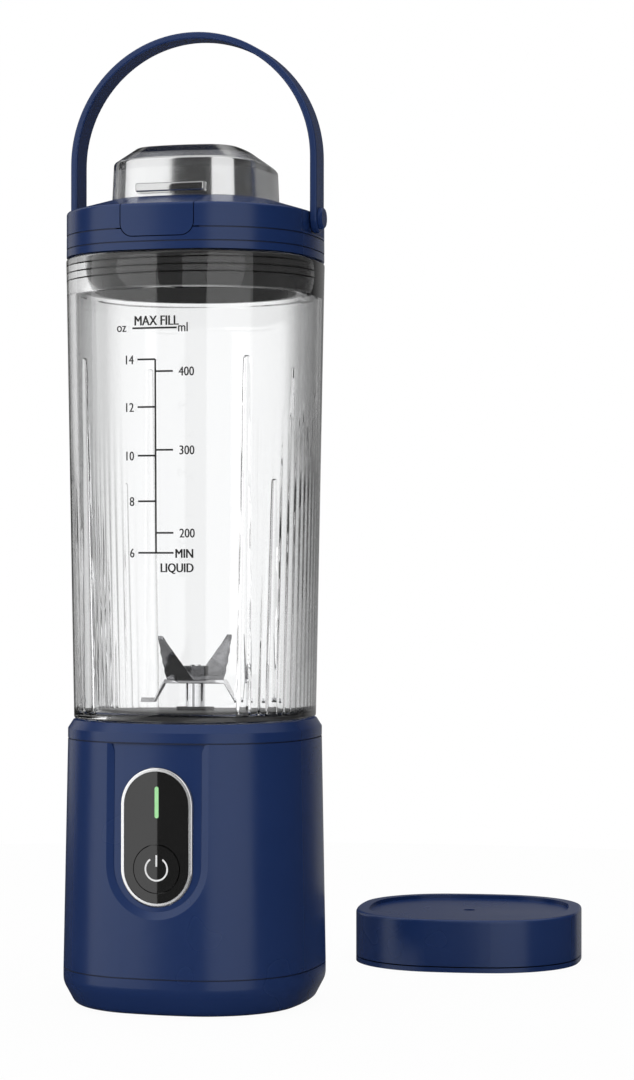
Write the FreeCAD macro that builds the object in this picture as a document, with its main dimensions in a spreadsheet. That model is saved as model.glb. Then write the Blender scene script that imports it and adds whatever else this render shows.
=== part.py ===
import FreeCAD, Part
import math
import os
import re

import Sketcher
from FreeCAD import Placement, Rotation, Vector

# A cordless personal blender with a bail handle, and its loose travel cap.
# Millimetres, +Z up, the front (control panel and latch) faces -Y.
# The origin is the middle of the foot pad's resting face.

SIZES = [
    # The outline shared by base, jar and lid: a square with bowed sides, made of eight arcs.
    ("side_ratio", 2.57, "radius of a bowed side, per half width"),
    ("corner_ratio", 0.79, "radius of a corner, per half width"),
    ("hood_corner_ratio", 0.62, "the same for the flip cap"),
    ("seam_gap", 0.4, "open seam between two shells"),
    ("running_gap", 0.3, "clearance between two pieces that move apart"),
    ("close_gap", 0.1, "clearance of a piece set into another"),
    ("bearing_gap", 0.05, "radial clearance on a shaft"),
    ("press_gap", 0.02, "radial clearance of a pressed piece"),
    # Base shells
    ("pad_inset", 3.8, "foot pad, inside the edge of the underside"),
    ("pad_thick", 1.4, "foot pad thickness"),
    ("pad_proud", 0.4, "foot pad below the bottom cover"),
    ("sole_inset", 3.6, "slope of the lower bevel, inwards"),
    ("cover_band", 4.2, "upright band of the bottom cover"),
    ("base_half", 39.25, "half width at the lower seam"),
    ("lower_seam", 11.6, "height of the lower seam"),
    ("housing_tall", 70.6, "height from the lower seam to the upper one"),
    ("shoulder_inset", 1.25, "taper of the base up to the upper seam"),
    ("base_wall", 2.6, "wall of the base shells"),
    ("floor_thick", 3.0, "floor of the bottom cover"),
    ("floor_inset", 1.3, "inside of the bottom cover at its floor"),
    ("lip_height", 3.0, "lip of the bottom cover above the lower seam"),
    ("lip_wall", 1.2, "wall of that lip"),
    ("bevel_round", 6.0, "rounding at the top of the lower bevel"),
    ("sole_round", 3.0, "rounding at the edge of the underside"),
    # Case screws
    ("post_radius", 3.4, "screw posts of the housing"),
    ("post_height", 18.0, "height of those posts"),
    ("front_post_inset", 14.75, "front posts, from the side faces"),
    ("front_post_shift", 1.0, "front posts, back from the diagonal"),
    ("side_post_inset", 7.95, "side posts, from the side faces"),
    ("side_post_y", 2.6, "side posts, backward"),
    ("post_foot", 6.0, "height of the screw seats in the bottom cover"),
    ("case_screw_radius", 1.5, "case screw shank"),
    ("case_screw_head", 2.8, "case screw head radius"),
    ("case_head_thick", 1.8, "case screw head thickness"),
    ("case_screw_length", 14.0, "case screw shank length"),
    # Recess and control panel in the front face
    ("recess_depth", 1.1, "recess below the front face"),
    ("recess_margin", 2.6, "recess floor beyond the bezel"),
    ("recess_bevel", 2.3, "width of the bevel around the recess"),
    ("recess_drop", 8.4, "centre of the recess's round end below the panel's"),
    ("panel_drop", 28.0, "panel's centre below the upper seam"),
    ("bezel_radius", 11.3, "half width of the bezel"),
    ("bezel_tall", 20.9, "half height of the bezel"),
    ("bezel_ring", 1.05, "width of the bezel's ring"),
    ("bezel_inset", 1.6, "front face of the bezel behind the base's widest"),
    ("bezel_round", 0.4, "rounding of the bezel's edge"),
    ("bezel_deep", 2.95, "bezel in front of its inner flange"),
    ("flange_thick", 1.0, "thickness of that flange"),
    ("flange_extra", 1.3, "how far the flange reaches past the bezel"),
    ("panel_sunk", 0.4, "insert below the bezel"),
    ("panel_thick", 1.6, "thickness of the insert"),
    ("button_drop", 9.5, "power button below the panel's centre"),
    ("button_radius", 7.15, "radius of the power button"),
    ("button_proud", 0.15, "power button in front of the insert"),
    ("button_travel", 0.8, "stroke of the power button"),
    ("button_lip", 1.25, "button's flange beyond the button"),
    ("button_flange_thick", 1.0, "thickness of the button's flange"),
    ("button_stem", 1.6, "radius of the button's stem"),
    ("light_rise", 10.5, "indicator above the panel's centre"),
    ("light_radius", 0.6, "half width of the indicator"),
    ("light_tall", 4.75, "half height of the indicator"),
    ("peg_length", 3.7, "pegs from the bezel's flange to the board"),
    ("board_thick", 1.6, "circuit board thickness"),
    ("board_drop", 17.7, "control board below the panel's centre"),
    ("board_rise", 19.8, "control board above the panel's centre"),
    ("peg_radius", 1.1, "pegs from the bezel's flange to the board"),
    ("switch_half", 3.0, "half width of the tactile switch"),
    ("switch_thick", 2.0, "height of the tactile switch"),
    ("plunger_radius", 1.75, "radius of its plunger"),
    ("plunger_length", 0.6, "height of its plunger"),
    # Charging
    ("port_height", 20.0, "height of the charging socket"),
    ("port_half", 4.5, "half width of the socket shell"),
    ("port_radius", 1.65, "half height of the socket shell"),
    ("port_wall", 0.3, "wall of the socket shell"),
    ("port_floor", 0.4, "closed end of the socket"),
    ("port_inset", 1.7, "mouth of the socket behind its cover's face"),
    ("port_length", 6.6, "length of the socket, down to its board"),
    ("tongue_gap", 1.15, "socket's tongue, from the shell's sides"),
    ("tongue_thick", 0.7, "thickness of the tongue"),
    ("tongue_length", 4.5, "length of the tongue"),
    ("flap_margin", 3.5, "port cover beyond the socket, each side"),
    ("flap_tall", 4.4, "half height of the port cover"),
    ("flap_thick", 1.2, "thickness of the port cover"),
    ("flap_inset", 0.15, "outer face of the port cover inside the base's widest"),
    ("flap_corner", 2.0, "corner rounding of the port cover"),
    ("stub_depth", 0.4, "depth of the plug on the port cover"),
    ("stub_inset", 0.15, "plug on the port cover, inside the socket's edge"),
    ("charge_half", 8.6, "half width of the charging board"),
    ("charge_drop", 12.0, "charging board below the socket"),
    ("charge_rise", 20.0, "charging board above the socket"),
    ("rail_half", 6.0, "half width of the rail behind the charging board"),
    ("rail_drop", 9.0, "rail's lower face below the board's top"),
    ("rail_thick", 3.0, "height of the rail"),
    # Battery
    ("cell_radius", 9.1, "battery cell radius"),
    ("cell_headroom", 5.2, "room over a cell, under the deck"),
    ("cell_gap", 0.76, "clearance of a cell beside the motor"),
    ("cell_nub", 2.6, "radius of the cell's terminal"),
    ("cell_nub_tall", 1.2, "height of the cell's terminal"),
    ("tray_inset", 1.6, "battery holder's pads inside the cells"),
    ("tray_thick", 3.1, "thickness of the battery holder"),
    ("tray_web", 3.0, "half depth of the web between its pads"),
    # Motor
    ("motor_inset", 21.25, "room between the motor can and the base's sides"),
    ("cap_boss_tall", 6.0, "motor can's lower edge above its bearing boss"),
    ("motor_tall", 46.0, "height of the motor can"),
    ("can_wall", 1.4, "wall of the motor can"),
    ("can_top", 2.0, "top of the motor can"),
    ("cap_thick", 2.0, "flange of the motor's end cap"),
    ("cap_spigot", 2.0, "spigot of the end cap"),
    ("boss_wall", 2.0, "wall of the end cap's bearing boss"),
    ("cap_boss_floor", 1.2, "floor of that boss"),
    ("bush_radius", 4.0, "motor bushing radius"),
    ("bush_length", 3.5, "motor bushing length"),
    ("magnet_thick", 3.0, "thickness of the magnets"),
    ("magnet_inset", 6.0, "magnets, from both ends of the can"),
    ("magnet_gap", 6.0, "half of the gap between the magnets"),
    ("air_gap", 0.7, "air gap around the armature"),
    ("core_inset", 6.0, "core above the magnets' lower end"),
    ("core_drop", 5.0, "core below the magnets' upper end"),
    ("coil_inset", 3.3, "winding ends inside the core"),
    ("coil_tall", 4.0, "height of the winding ends"),
    ("commutator_radius", 4.2, "commutator radius"),
    ("commutator_lift", 2.6, "commutator above the can's lower edge"),
    ("commutator_tall", 4.8, "height of the commutator"),
    ("motor_shaft_radius", 1.6, "motor shaft radius"),
    ("shaft_lift", 0.4, "motor shaft above the boss's floor"),
    ("shaft_reach", 10.0, "motor shaft above the can"),
    ("mount_thick", 2.4, "motor bracket thickness"),
    ("mount_inset", 6.25, "bracket's ends, from the side faces"),
    ("mount_gap", 1.0, "clearance of the bracket beside the cells"),
    ("mount_hole", 6.0, "hole of the bracket around the motor's bearing"),
    ("mount_post_radius", 2.6, "radius of those posts"),
    ("mount_post_tall", 6.3, "height of those posts"),
    ("motor_screw_inset", 5.5, "motor screws, inside the can"),
    ("small_screw_radius", 1.1, "motor, bracket and deck screw shanks"),
    ("small_screw_head", 2.0, "their head radius"),
    ("small_head_thick", 1.4, "their head thickness"),
    ("motor_screw_length", 4.2, "motor screw shank"),
    ("mount_screw_length", 5.6, "bracket screw shank"),
    ("deck_screw_length", 7.6, "deck screw shank"),
    ("bore_skin", 0.18, "wall between the collar's bore and the deck screws"),
    # Collar and deck
    ("collar_band", 3.3, "upright band of the collar"),
    ("collar_slope", 2.6, "height of the collar's slope"),
    ("collar_inset", 1.6, "run of the collar's slope"),
    ("skirt_gap", 0.2, "clearance of the skirt in the housing"),
    ("deck_thick", 2.6, "deck flange thickness"),
    ("deck_gap", 1.0, "raised deck inside the jar's neck"),
    ("deck_proud", 2.9, "raised deck above the collar"),
    ("deck_wall", 2.2, "wall of the raised deck"),
    ("hub_wall", 0.7, "wall of the hub around the shaft seal"),
    ("hub_proud", 1.4, "hub above the deck"),
    ("hub_lip", 0.8, "top of the hub"),
    ("boss_skin", 2.2, "wall around the shaft bearing"),
    ("bearing_room", 6.6, "room for the shaft bearing"),
    ("seal_wall", 2.2, "shaft seal's breadth"),
    ("seal_room", 4.4, "underside of the shaft seal below the deck"),
    ("bearing_wall", 3.5, "shaft bearing's breadth"),
    ("shaft_bearing_length", 5.0, "shaft bearing length"),
    ("jar_seal_thick", 2.0, "jar seal thickness"),
    ("seal_overhang", 0.4, "jar seal inside the neck"),
    ("seal_reach", 0.7, "jar seal outside the neck"),
    # Jar
    ("jar_inset", 0.2, "jar's foot inside the collar's edge"),
    ("jar_taper", 2.5, "how far the jar's sides lean out"),
    ("jar_tall", 142.1, "height of the jar above the collar"),
    ("jar_wall", 2.5, "wall of the jar"),
    ("jar_floor", 2.0, "floor of the jar, around its lower neck"),
    ("neck_wall", 2.6, "wall of the jar's lower neck"),
    ("neck_inset", 3.0, "jar's lower neck inside its foot"),
    ("ridge_height", 0.6, "thread ridges, above their cylinder"),
    ("ridge_thick", 1.1, "thread ridge thickness"),
    ("ridge_pitch", 2.2, "thread ridge spacing"),
    ("neck_ridge_start", 0.3, "lowest ridge, above the neck's lower edge"),
    ("neck_ridges", 3, "ridges on the jar's neck"),
    ("mouth_inset", 3.1, "round bore of the jar's mouth, from the sides"),
    ("mouth_depth", 14.3, "depth of that bore"),
    ("rib_drop", 31.5, "corner ribs' tops below the mouth"),
    ("side_rib_drop", 68.5, "tops of the ribs beside them"),
    ("rib_top_radius", 0.8, "radius at the top of a rib"),
    ("rib_foot_radius", 2.2, "radius at the foot of a rib"),
    ("side_rib_turn", 24.0, "turn of the side ribs about the corner's centre, degrees"),
    # Blades
    ("blade_shaft_radius", 3.0, "blade shaft radius"),
    ("shaft_overlap", 3.5, "blade shaft over the motor shaft"),
    ("blade_lift", 6.6, "underside of the lower blade above the hub"),
    ("blade_thick", 1.2, "blade thickness"),
    ("shaft_step", 1.3, "step of the shaft that the blades sit on"),
    ("blade_hub", 5.0, "half length of the flat middle of a blade"),
    ("upper_run", 8.2, "wing of the upper blade"),
    ("upper_rise", 13.0, "rise of the upper blade's tips"),
    ("upper_half", 5.6, "half breadth of the upper blade"),
    ("upper_tip_shift", 4.2, "sideways shift of its tips"),
    ("lower_run", 7.6, "sloped part of the lower blade's wing"),
    ("lower_flat", 4.6, "flat tip of the lower blade"),
    ("lower_drop", 5.2, "drop of the lower blade's tips"),
    ("lower_half", 3.4, "half breadth of the lower blade"),
    ("lower_tip_half", 1.4, "half breadth of the lower blade's tips"),
    ("upper_turn", 62.0, "turn of the upper blade about the axis, degrees"),
    ("lower_turn", 8.0, "turn of the lower blade about the axis, degrees"),
    ("nut_flat", 3.6, "half width across the nut's flats"),
    ("nut_tall", 3.0, "height of the nut"),
    # Lid
    ("lid_inset", 0.1, "lid inside the jar's mouth"),
    ("ring_tall", 2.2, "height of the lid's lower ring"),
    ("skirt_tall", 4.1, "height of the lid's skirt, with its seam"),
    ("band_tall", 7.5, "height of the lid's upright band, with its seam"),
    ("dome_rise", 3.6, "height of the lid's sloped deck"),
    ("dome_inset", 11.8, "run of the deck's slope"),
    ("band_round", 1.0, "rounding at the top of the band"),
    ("well_gap", 2.0, "well under the lid, around the spout's flange"),
    ("well_inset", 10.1, "well under the lid, from the sides"),
    ("well_roof", 2.2, "top of that well below the band's top"),
    ("facet_cut", 0.8, "depth of the flats beside the handle"),
    ("facet_deep", 13.6, "half length of those flats"),
    ("facet_rise", 0.9, "lower end of those flats above the seam"),
    ("plug_deep", 10.2, "threaded plug into the jar"),
    ("plug_gap", 0.4, "plug's ridges clear of the jar's mouth"),
    ("plug_wall", 2.8, "wall of the plug"),
    ("plug_step_drop", 0.1, "top of the threaded part below the jar's mouth"),
    ("plug_step", 1.45, "step of the plug inside the lid's rings"),
    ("plug_top_thick", 2.5, "top of the plug"),
    ("plug_ridge_start", 1.6, "lowest ridge above the plug's edge"),
    ("plug_ridges", 4, "ridges on the plug"),
    ("gasket_overhang", 0.4, "lid gasket inside the jar's bore"),
    ("gasket_wide", 1.9, "breadth of the lid gasket"),
    ("gasket_thick", 0.8, "lid gasket thickness"),
    ("spout_radius", 9.6, "spout outer radius"),
    ("spout_wall", 1.6, "spout wall"),
    ("spout_rise", 7.6, "spout above the lid's deck"),
    ("spout_lip", 2.4, "spout's flange beyond its tube"),
    ("spout_flange_thick", 1.6, "thickness of the spout's flange"),
    # Latch
    ("latch_half", 11.5, "half width of the latch button"),
    ("latch_drop", 2.2, "lower edge of the latch button below the seam"),
    ("latch_corner", 4.0, "its lower corners"),
    ("latch_thick", 2.5, "thickness of the latch button's plate"),
    ("latch_travel", 1.5, "stroke of the latch"),
    ("latch_arm_drop", 0.4, "its inward arm below the band's top"),
    ("latch_arm_reach", 12.2, "length of the arm, from the front face"),
    ("latch_spring_radius", 2.2, "latch spring radius"),
    ("latch_wire", 0.35, "latch spring wire radius"),
    ("latch_spring_coils", 4, "turns of the latch spring"),
    ("spring_room", 5.1, "room for the latch spring"),
    ("spring_rise", 5.0, "latch spring above the button's lower edge"),
    # Flip cap
    ("hood_inset", 2.2, "flip cap inside the flat of the deck"),
    ("hood_rise", 11.8, "height of its upright sides"),
    ("hood_draft", 0.5, "lean of its sides"),
    ("hood_shoulder", 4.9, "height of its bevel at the front"),
    ("hood_fall", 1.8, "fall of its top to the back"),
    ("hood_bevel", 6.8, "width of its bevel"),
    ("hood_round", 1.2, "rounding of its edges"),
    ("hood_wall", 1.6, "its wall"),
    ("hood_lip_half", 11.0, "half width of its lip"),
    ("hood_lip_rise", 1.0, "underside of the lip above its lower edge"),
    ("hood_lip_tall", 2.7, "height of the lip"),
    ("hood_lip_reach", 1.2, "how far the lip stands out"),
    ("hinge_reach", 2.4, "hinge axis behind the flip cap"),
    ("hinge_rise", 2.4, "hinge axis above the flip cap's lower edge"),
    ("knuckle_radius", 2.2, "hinge knuckle radius"),
    ("knuckle_half", 4.6, "half width of the flip cap's knuckle"),
    ("lug_thick", 4.0, "width of each lug on the lid"),
    ("hinge_pin_radius", 1.0, "hinge pin radius"),
    ("stopper_gap", 0.8, "clearance of the stopper in the spout"),
    ("stopper_taper", 0.8, "how much narrower its tip is"),
    ("stopper_depth", 1.2, "how far it reaches into the spout"),
    ("stopper_inset", 0.2, "stopper's flange inside the spout's rim"),
    ("stopper_flange_thick", 1.4, "thickness of that flange"),
    ("stopper_stem", 4.0, "radius of its stem"),
    # Carrying handle
    ("pivot_drop", 1.7, "handle's pivot below the band's top"),
    ("handle_thick", 2.1, "handle thickness"),
    ("handle_deep", 4.6, "half depth of the handle"),
    ("handle_round", 0.5, "rounding of its edges"),
    ("bow_rise", 18.6, "bow's centre above the pivot"),
    ("pin_radius", 2.0, "handle pin radius"),
    ("pin_lip", 1.4, "pin's head beyond its shank"),
    ("pin_head_thick", 1.3, "handle pin head thickness"),
    ("pin_head_round", 0.5, "rounding of the head"),
    ("pin_reach", 7.4, "how far the pins reach into the lid"),
    # Travel cap, standing on its own
    ("travel_x", 60.0, "travel cap's place, across"),
    ("travel_y", 119.0, "travel cap's place, backward"),
    ("travel_turn", 7.0, "its turn, degrees"),
    ("cap_inset", 0.1, "travel cap inside the lid's width"),
    ("travel_tall", 17.5, "its height"),
    ("travel_seam", 1.6, "height of its lower seam"),
    ("travel_wall", 2.2, "its wall"),
    ("travel_rim", 4.4, "rim around its sunk top"),
    ("travel_sunk", 1.2, "depth of the sunk top"),
    ("travel_dimple", 2.0, "radius of the dimple"),
    ("travel_dimple_deep", 0.7, "depth of the dimple"),
    ("travel_round", 1.0, "rounding of its rim"),
    ("liner_wall", 1.6, "wall of its liner"),
    ("liner_top_thick", 2.2, "top of its liner"),
    ("travel_seal_thick", 1.4, "thickness of its seal"),
]

# Sizes that follow from those, each measured from what carries it.
FOLLOWING = {
    "flange_low": "panel_centre + bezel_tall + flange_extra + running_gap",
    "pad_half": "flat_half - pad_inset",
    "flat_half": "base_half - sole_inset",
    "bevel_top": "lower_seam - cover_band",
    "upper_seam": "lower_seam + housing_tall",
    "shoulder_half": "base_half - shoulder_inset",
    "floor_half": "flat_half - floor_inset",
    "front_post_x": "base_half - front_post_inset",
    "front_post_y": "front_post_x - front_post_shift",
    "side_post_x": "base_half - side_post_inset",
    "recess_radius": "bezel_radius + recess_margin",
    "recess_centre": "panel_centre - recess_drop",
    "panel_centre": "upper_seam - panel_drop",
    "bezel_front": "base_half - bezel_inset",
    "flange_front": "bezel_front - bezel_deep",
    "button_centre": "panel_centre - button_drop",
    "button_flange": "button_radius + button_lip",
    "light_centre": "panel_centre + light_rise",
    "board_front": "flange_front - flange_thick - peg_length",
    "board_half": "bezel_radius + peg_radius",
    "board_low": "panel_centre - board_drop",
    "board_high": "panel_centre + board_rise",
    "peg_x": "bezel_radius",
    "port_deep": "port_length - port_floor",
    "port_mouth": "flap_face - port_inset",
    "port_back": "port_mouth - port_length",
    "tongue_half": "port_half - tongue_gap",
    "flap_half": "port_half + flap_margin",
    "flap_face": "base_half - flap_inset",
    "stub_half": "port_half - port_wall",
    "stub_radius": "port_radius - stub_inset",
    "charge_low": "port_height - charge_drop",
    "charge_high": "port_height + charge_rise",
    "rail_low": "charge_high - rail_drop",
    "cell_length": "flange_low - pad_proud - floor_thick - tray_thick - cell_headroom",
    "cell_place": "(motor_radius + cell_radius + cell_gap) / sqrt(2)",
    "tray_radius": "cell_radius - tray_inset",
    "motor_radius": "base_half - motor_inset",
    "motor_low": "motor_high - motor_tall",
    "motor_high": "flange_low - mount_post_tall - mount_thick",
    "cap_boss_radius": "bush_radius + boss_wall",
    "cap_boss_low": "motor_low - cap_boss_tall",
    "magnet_inner": "motor_radius - can_wall - magnet_thick",
    "magnet_low": "motor_low + magnet_inset",
    "magnet_high": "motor_high - magnet_inset",
    "core_radius": "magnet_inner - air_gap",
    "core_low": "magnet_low + core_inset",
    "core_high": "magnet_high - core_drop",
    "coil_radius": "core_radius - coil_inset",
    "commutator_low": "motor_low + commutator_lift",
    "commutator_high": "commutator_low + commutator_tall",
    "motor_shaft_low": "cap_boss_low + cap_boss_floor + shaft_lift",
    "motor_shaft_high": "motor_high + shaft_reach",
    "mount_deep": "cell_place - cell_radius - mount_gap",
    "mount_half": "base_half - mount_inset",
    "mount_post_x": "mount_half - mount_post_radius",
    "motor_screw_x": "motor_radius - motor_screw_inset",
    "deck_screw_place": "(neck_radius + ridge_height + 2 * running_gap + small_screw_radius + close_gap"
                        " + bore_skin) / sqrt(2)",
    "collar_edge": "upper_seam + collar_band",
    "collar_top": "collar_edge + collar_slope",
    "collar_top_half": "shoulder_half - collar_inset",
    "deck_radius": "neck_bore - deck_gap",
    "deck_top": "collar_top + deck_proud",
    "hub_radius": "shaft_seal_radius + hub_wall",
    "boss_radius": "shaft_bearing_radius + boss_skin",
    "boss_low": "shaft_seal_low - bearing_room",
    "shaft_seal_radius": "blade_shaft_radius + seal_wall",
    "shaft_seal_low": "deck_top - seal_room",
    "shaft_bearing_radius": "blade_shaft_radius + bearing_wall",
    "jar_seal_inner": "neck_bore - seal_overhang",
    "jar_seal_outer": "neck_radius + seal_reach",
    "jar_foot_half": "collar_top_half - jar_inset",
    "jar_top_half": "jar_foot_half + jar_taper",
    "jar_top": "collar_top + running_gap + jar_tall",
    "neck_bore": "neck_radius - neck_wall",
    "neck_radius": "jar_foot_half - neck_inset",
    "mouth_radius": "jar_top_half - mouth_inset",
    "rib_top": "jar_top - rib_drop",
    "side_rib_top": "jar_top - side_rib_drop",
    "blade_shaft_low": "motor_shaft_high - shaft_overlap",
    "lower_blade_height": "deck_top + hub_proud + blade_lift",
    "blade_eye": "blade_shaft_radius - shaft_step",
    "upper_reach": "blade_hub + upper_run",
    "lower_bend": "blade_hub + lower_run",
    "lower_reach": "lower_bend + lower_flat",
    "lid_half": "jar_top_half - lid_inset",
    "ring_low": "jar_top + running_gap",
    "ring_seam": "ring_low + ring_tall",
    "skirt_seam": "ring_seam + skirt_tall",
    "band_top": "skirt_seam + band_tall",
    "dome_top": "band_top + dome_rise",
    "dome_half": "lid_half - dome_inset",
    "lid_well_inner": "spout_flange + well_gap",
    "lid_well_outer": "lid_half - well_inset",
    "lid_well_top": "band_top - well_roof",
    "facet_half": "lid_half - facet_cut",
    "facet_low": "skirt_seam + facet_rise",
    "plug_low": "jar_top - plug_deep",
    "plug_radius": "mouth_radius - ridge_height - plug_gap",
    "plug_shoulder": "jar_top - plug_step_drop",
    "plug_neck": "plug_radius - plug_step",
    "plug_ridge_low": "plug_low + plug_ridge_start",
    "gasket_inner": "mouth_radius - gasket_overhang",
    "gasket_outer": "gasket_inner + gasket_wide",
    "spout_top": "dome_top + spout_rise",
    "spout_flange": "spout_radius + spout_lip",
    "latch_low": "skirt_seam - latch_drop",
    "latch_back": "lid_half - latch_thick",
    "latch_arm_low": "band_top - latch_arm_drop",
    "latch_arm_end": "lid_half - latch_arm_reach",
    "latch_spring_end": "latch_back - spring_room",
    "latch_spring_height": "latch_low + spring_rise",
    "hood_low": "dome_top + running_gap",
    "hood_low_half": "dome_half - hood_inset",
    "hood_edge": "hood_low + hood_rise",
    "hood_edge_half": "hood_low_half - hood_draft",
    "hood_front_top": "hood_edge + hood_shoulder",
    "hood_back_top": "hood_front_top - hood_fall",
    "hood_lip_low": "hood_low + hood_lip_rise",
    "hood_lip_top": "hood_lip_low + hood_lip_tall",
    "hood_lip_front": "hood_low_half + hood_lip_reach",
    "hinge_back": "hood_low_half + hinge_reach",
    "hinge_height": "hood_low + hinge_rise",
    "stopper_radius": "spout_radius - spout_wall - stopper_gap",
    "stopper_flange": "spout_radius - stopper_inset",
    "pivot_height": "band_top - pivot_drop",
    "handle_outer": "facet_half + running_gap + handle_thick",
    "bow_height": "pivot_height + bow_rise",
    "pin_head": "pin_radius + pin_lip",
    "pin_inner": "lid_half - pin_reach",
    "travel_half": "lid_half - cap_inset",
}
# The shift of a corner arc's centre, per half width, from the two radius ratios.
CORNER_SHIFT = "((1 - side_ratio + sqrt(2 * (side_ratio - {0})^2 - (side_ratio - 1)^2)) / 2)"

DOC = FreeCAD.newDocument("personal_blender")
SHEET = DOC.addObject("Spreadsheet::Sheet", "sizes")
TURNS = {
    "up": Rotation(),
    "front": Rotation(Vector(1, 0, 0), 90),
    "back": Rotation(Vector(1, 0, 0), -90),
    "right": Rotation(Vector(0, 1, 0), 90),
    "left": Rotation(Vector(0, 1, 0), -90),
}
TOLERANCE = 1e-4
NODES = []


def fill_sheet():
    for row, (alias, value, meaning) in enumerate(SIZES, start=1):
        SHEET.set(f"A{row}", alias)
        SHEET.set(f"B{row}", str(value))
        SHEET.setAlias(f"B{row}", alias)
        SHEET.set(f"C{row}", meaning)
    DOC.recompute()


def spelled(expression):
    """The expression with each size that follows from others written out."""
    def replacement(match):
        name = match.group(0)
        return f"({spelled(FOLLOWING[name])})" if name in FOLLOWING else name

    return re.sub(r"\b[a-z]+(?:_[a-z]+)+\b", replacement, str(expression))


def linked(expression):
    """The expression with each named size pointed at the sheet."""
    return re.sub(r"\b([a-z]+(?:_[a-z]+)+)\b", r"sizes.\1", spelled(expression))


def size(expression):
    """The value of an expression of named sizes."""
    return float(SHEET.evalExpression(spelled(expression)))


def bind(item, name, expression):
    item.setExpression(name, linked(expression))


def node(item, label, placement=None):
    """Name a finished sub-part."""
    item.Label = label
    if placement is not None:
        item.Placement = placement
    NODES.append(item)
    return item


# Sketches. A position or radius is an expression of named sizes.

def sketch_on(body, plane, level="0"):
    """A sketch on one of the body's own planes, moved along its normal."""
    sketch = body.newObject("Sketcher::SketchObject", f"{body.Name}_outline")
    support = [item for item in body.Origin.OriginFeatures if item.Role == plane]
    sketch.AttachmentSupport = [(support[0], "")]
    sketch.MapMode = "FlatFace"
    sketch.AttachmentOffset = Placement(Vector(0, 0, size(level)), Rotation())
    bind(sketch, "AttachmentOffset.Base.z", level)
    return sketch


def set_datum(sketch, constraint, expression):
    """Add a dimension and bind it to its expression."""
    index = sketch.addConstraint(constraint)
    bind(sketch, f"Constraints[{index}]", expression)


def place_point(sketch, curve, end, x, y):
    """Hold a point of a curve at a place given by two expressions."""
    if x == "0":
        sketch.addConstraint(Sketcher.Constraint("PointOnObject", curve, end, -2))
    else:
        set_datum(sketch, Sketcher.Constraint("DistanceX", -1, 1, curve, end, size(x)), x)
    if y == "0":
        sketch.addConstraint(Sketcher.Constraint("PointOnObject", curve, end, -1))
    else:
        set_datum(sketch, Sketcher.Constraint("DistanceY", -1, 1, curve, end, size(y)), y)


def polygon(sketch, corners):
    """A closed outline of straight lines through its corners."""
    points = [Vector(size(x), size(y), 0) for x, y in corners]
    lines = []
    for start, end in zip(points, points[1:] + points[:1]):
        lines.append(sketch.addGeometry(Part.LineSegment(start, end)))
    for line, following in zip(lines, lines[1:] + lines[:1]):
        sketch.addConstraint(Sketcher.Constraint("Coincident", line, 2, following, 1))
    for line, (x, y) in zip(lines, corners):
        place_point(sketch, line, 1, x, y)


def rectangle(sketch, half, low, high):
    """A rectangle centred across, between two heights."""
    polygon(sketch, [(f"-({half})", low), (half, low), (half, high), (f"-({half})", high)])


def circle(sketch, radius, x="0", y="0"):
    curve = sketch.addGeometry(Part.Circle(Vector(size(x), size(y), 0), Vector(0, 0, 1), size(radius)))
    place_point(sketch, curve, 3, x, y)
    set_datum(sketch, Sketcher.Constraint("Radius", curve, size(radius)), radius)


def stadium(sketch, radius, reach, x="0", y="0", upright=True):
    """A slot with round ends; its half length is reach."""
    r = size(radius)
    offset = f"({reach}) - ({radius})"
    along = Vector(0, size(offset), 0) if upright else Vector(size(offset), 0, 0)
    turn = 0.0 if upright else -math.pi / 2
    centre = Vector(size(x), size(y), 0)
    axis = Vector(0, 0, 1)
    first = Part.ArcOfCircle(Part.Circle(centre + along, axis, r), turn, turn + math.pi)
    second = Part.ArcOfCircle(Part.Circle(centre - along, axis, r), turn + math.pi, turn + 2 * math.pi)
    ends = [first.EndPoint, second.StartPoint, second.EndPoint, first.StartPoint]
    curves = [
        sketch.addGeometry(first),
        sketch.addGeometry(Part.LineSegment(ends[0], ends[1])),
        sketch.addGeometry(second),
        sketch.addGeometry(Part.LineSegment(ends[2], ends[3])),
    ]
    for curve, following in zip(curves, curves[1:] + curves[:1]):
        sketch.addConstraint(Sketcher.Constraint("Tangent", curve, 2, following, 1))
    sketch.addConstraint(Sketcher.Constraint("Equal", curves[0], curves[2]))
    set_datum(sketch, Sketcher.Constraint("Radius", curves[0], r), radius)
    far = (x, f"({y}) + {offset}") if upright else (f"({x}) + {offset}", y)
    near = (x, f"({y}) - ({offset})") if upright else (f"({x}) - ({offset})", y)
    place_point(sketch, curves[0], 3, *far)
    place_point(sketch, curves[2], 3, *near)


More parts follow.
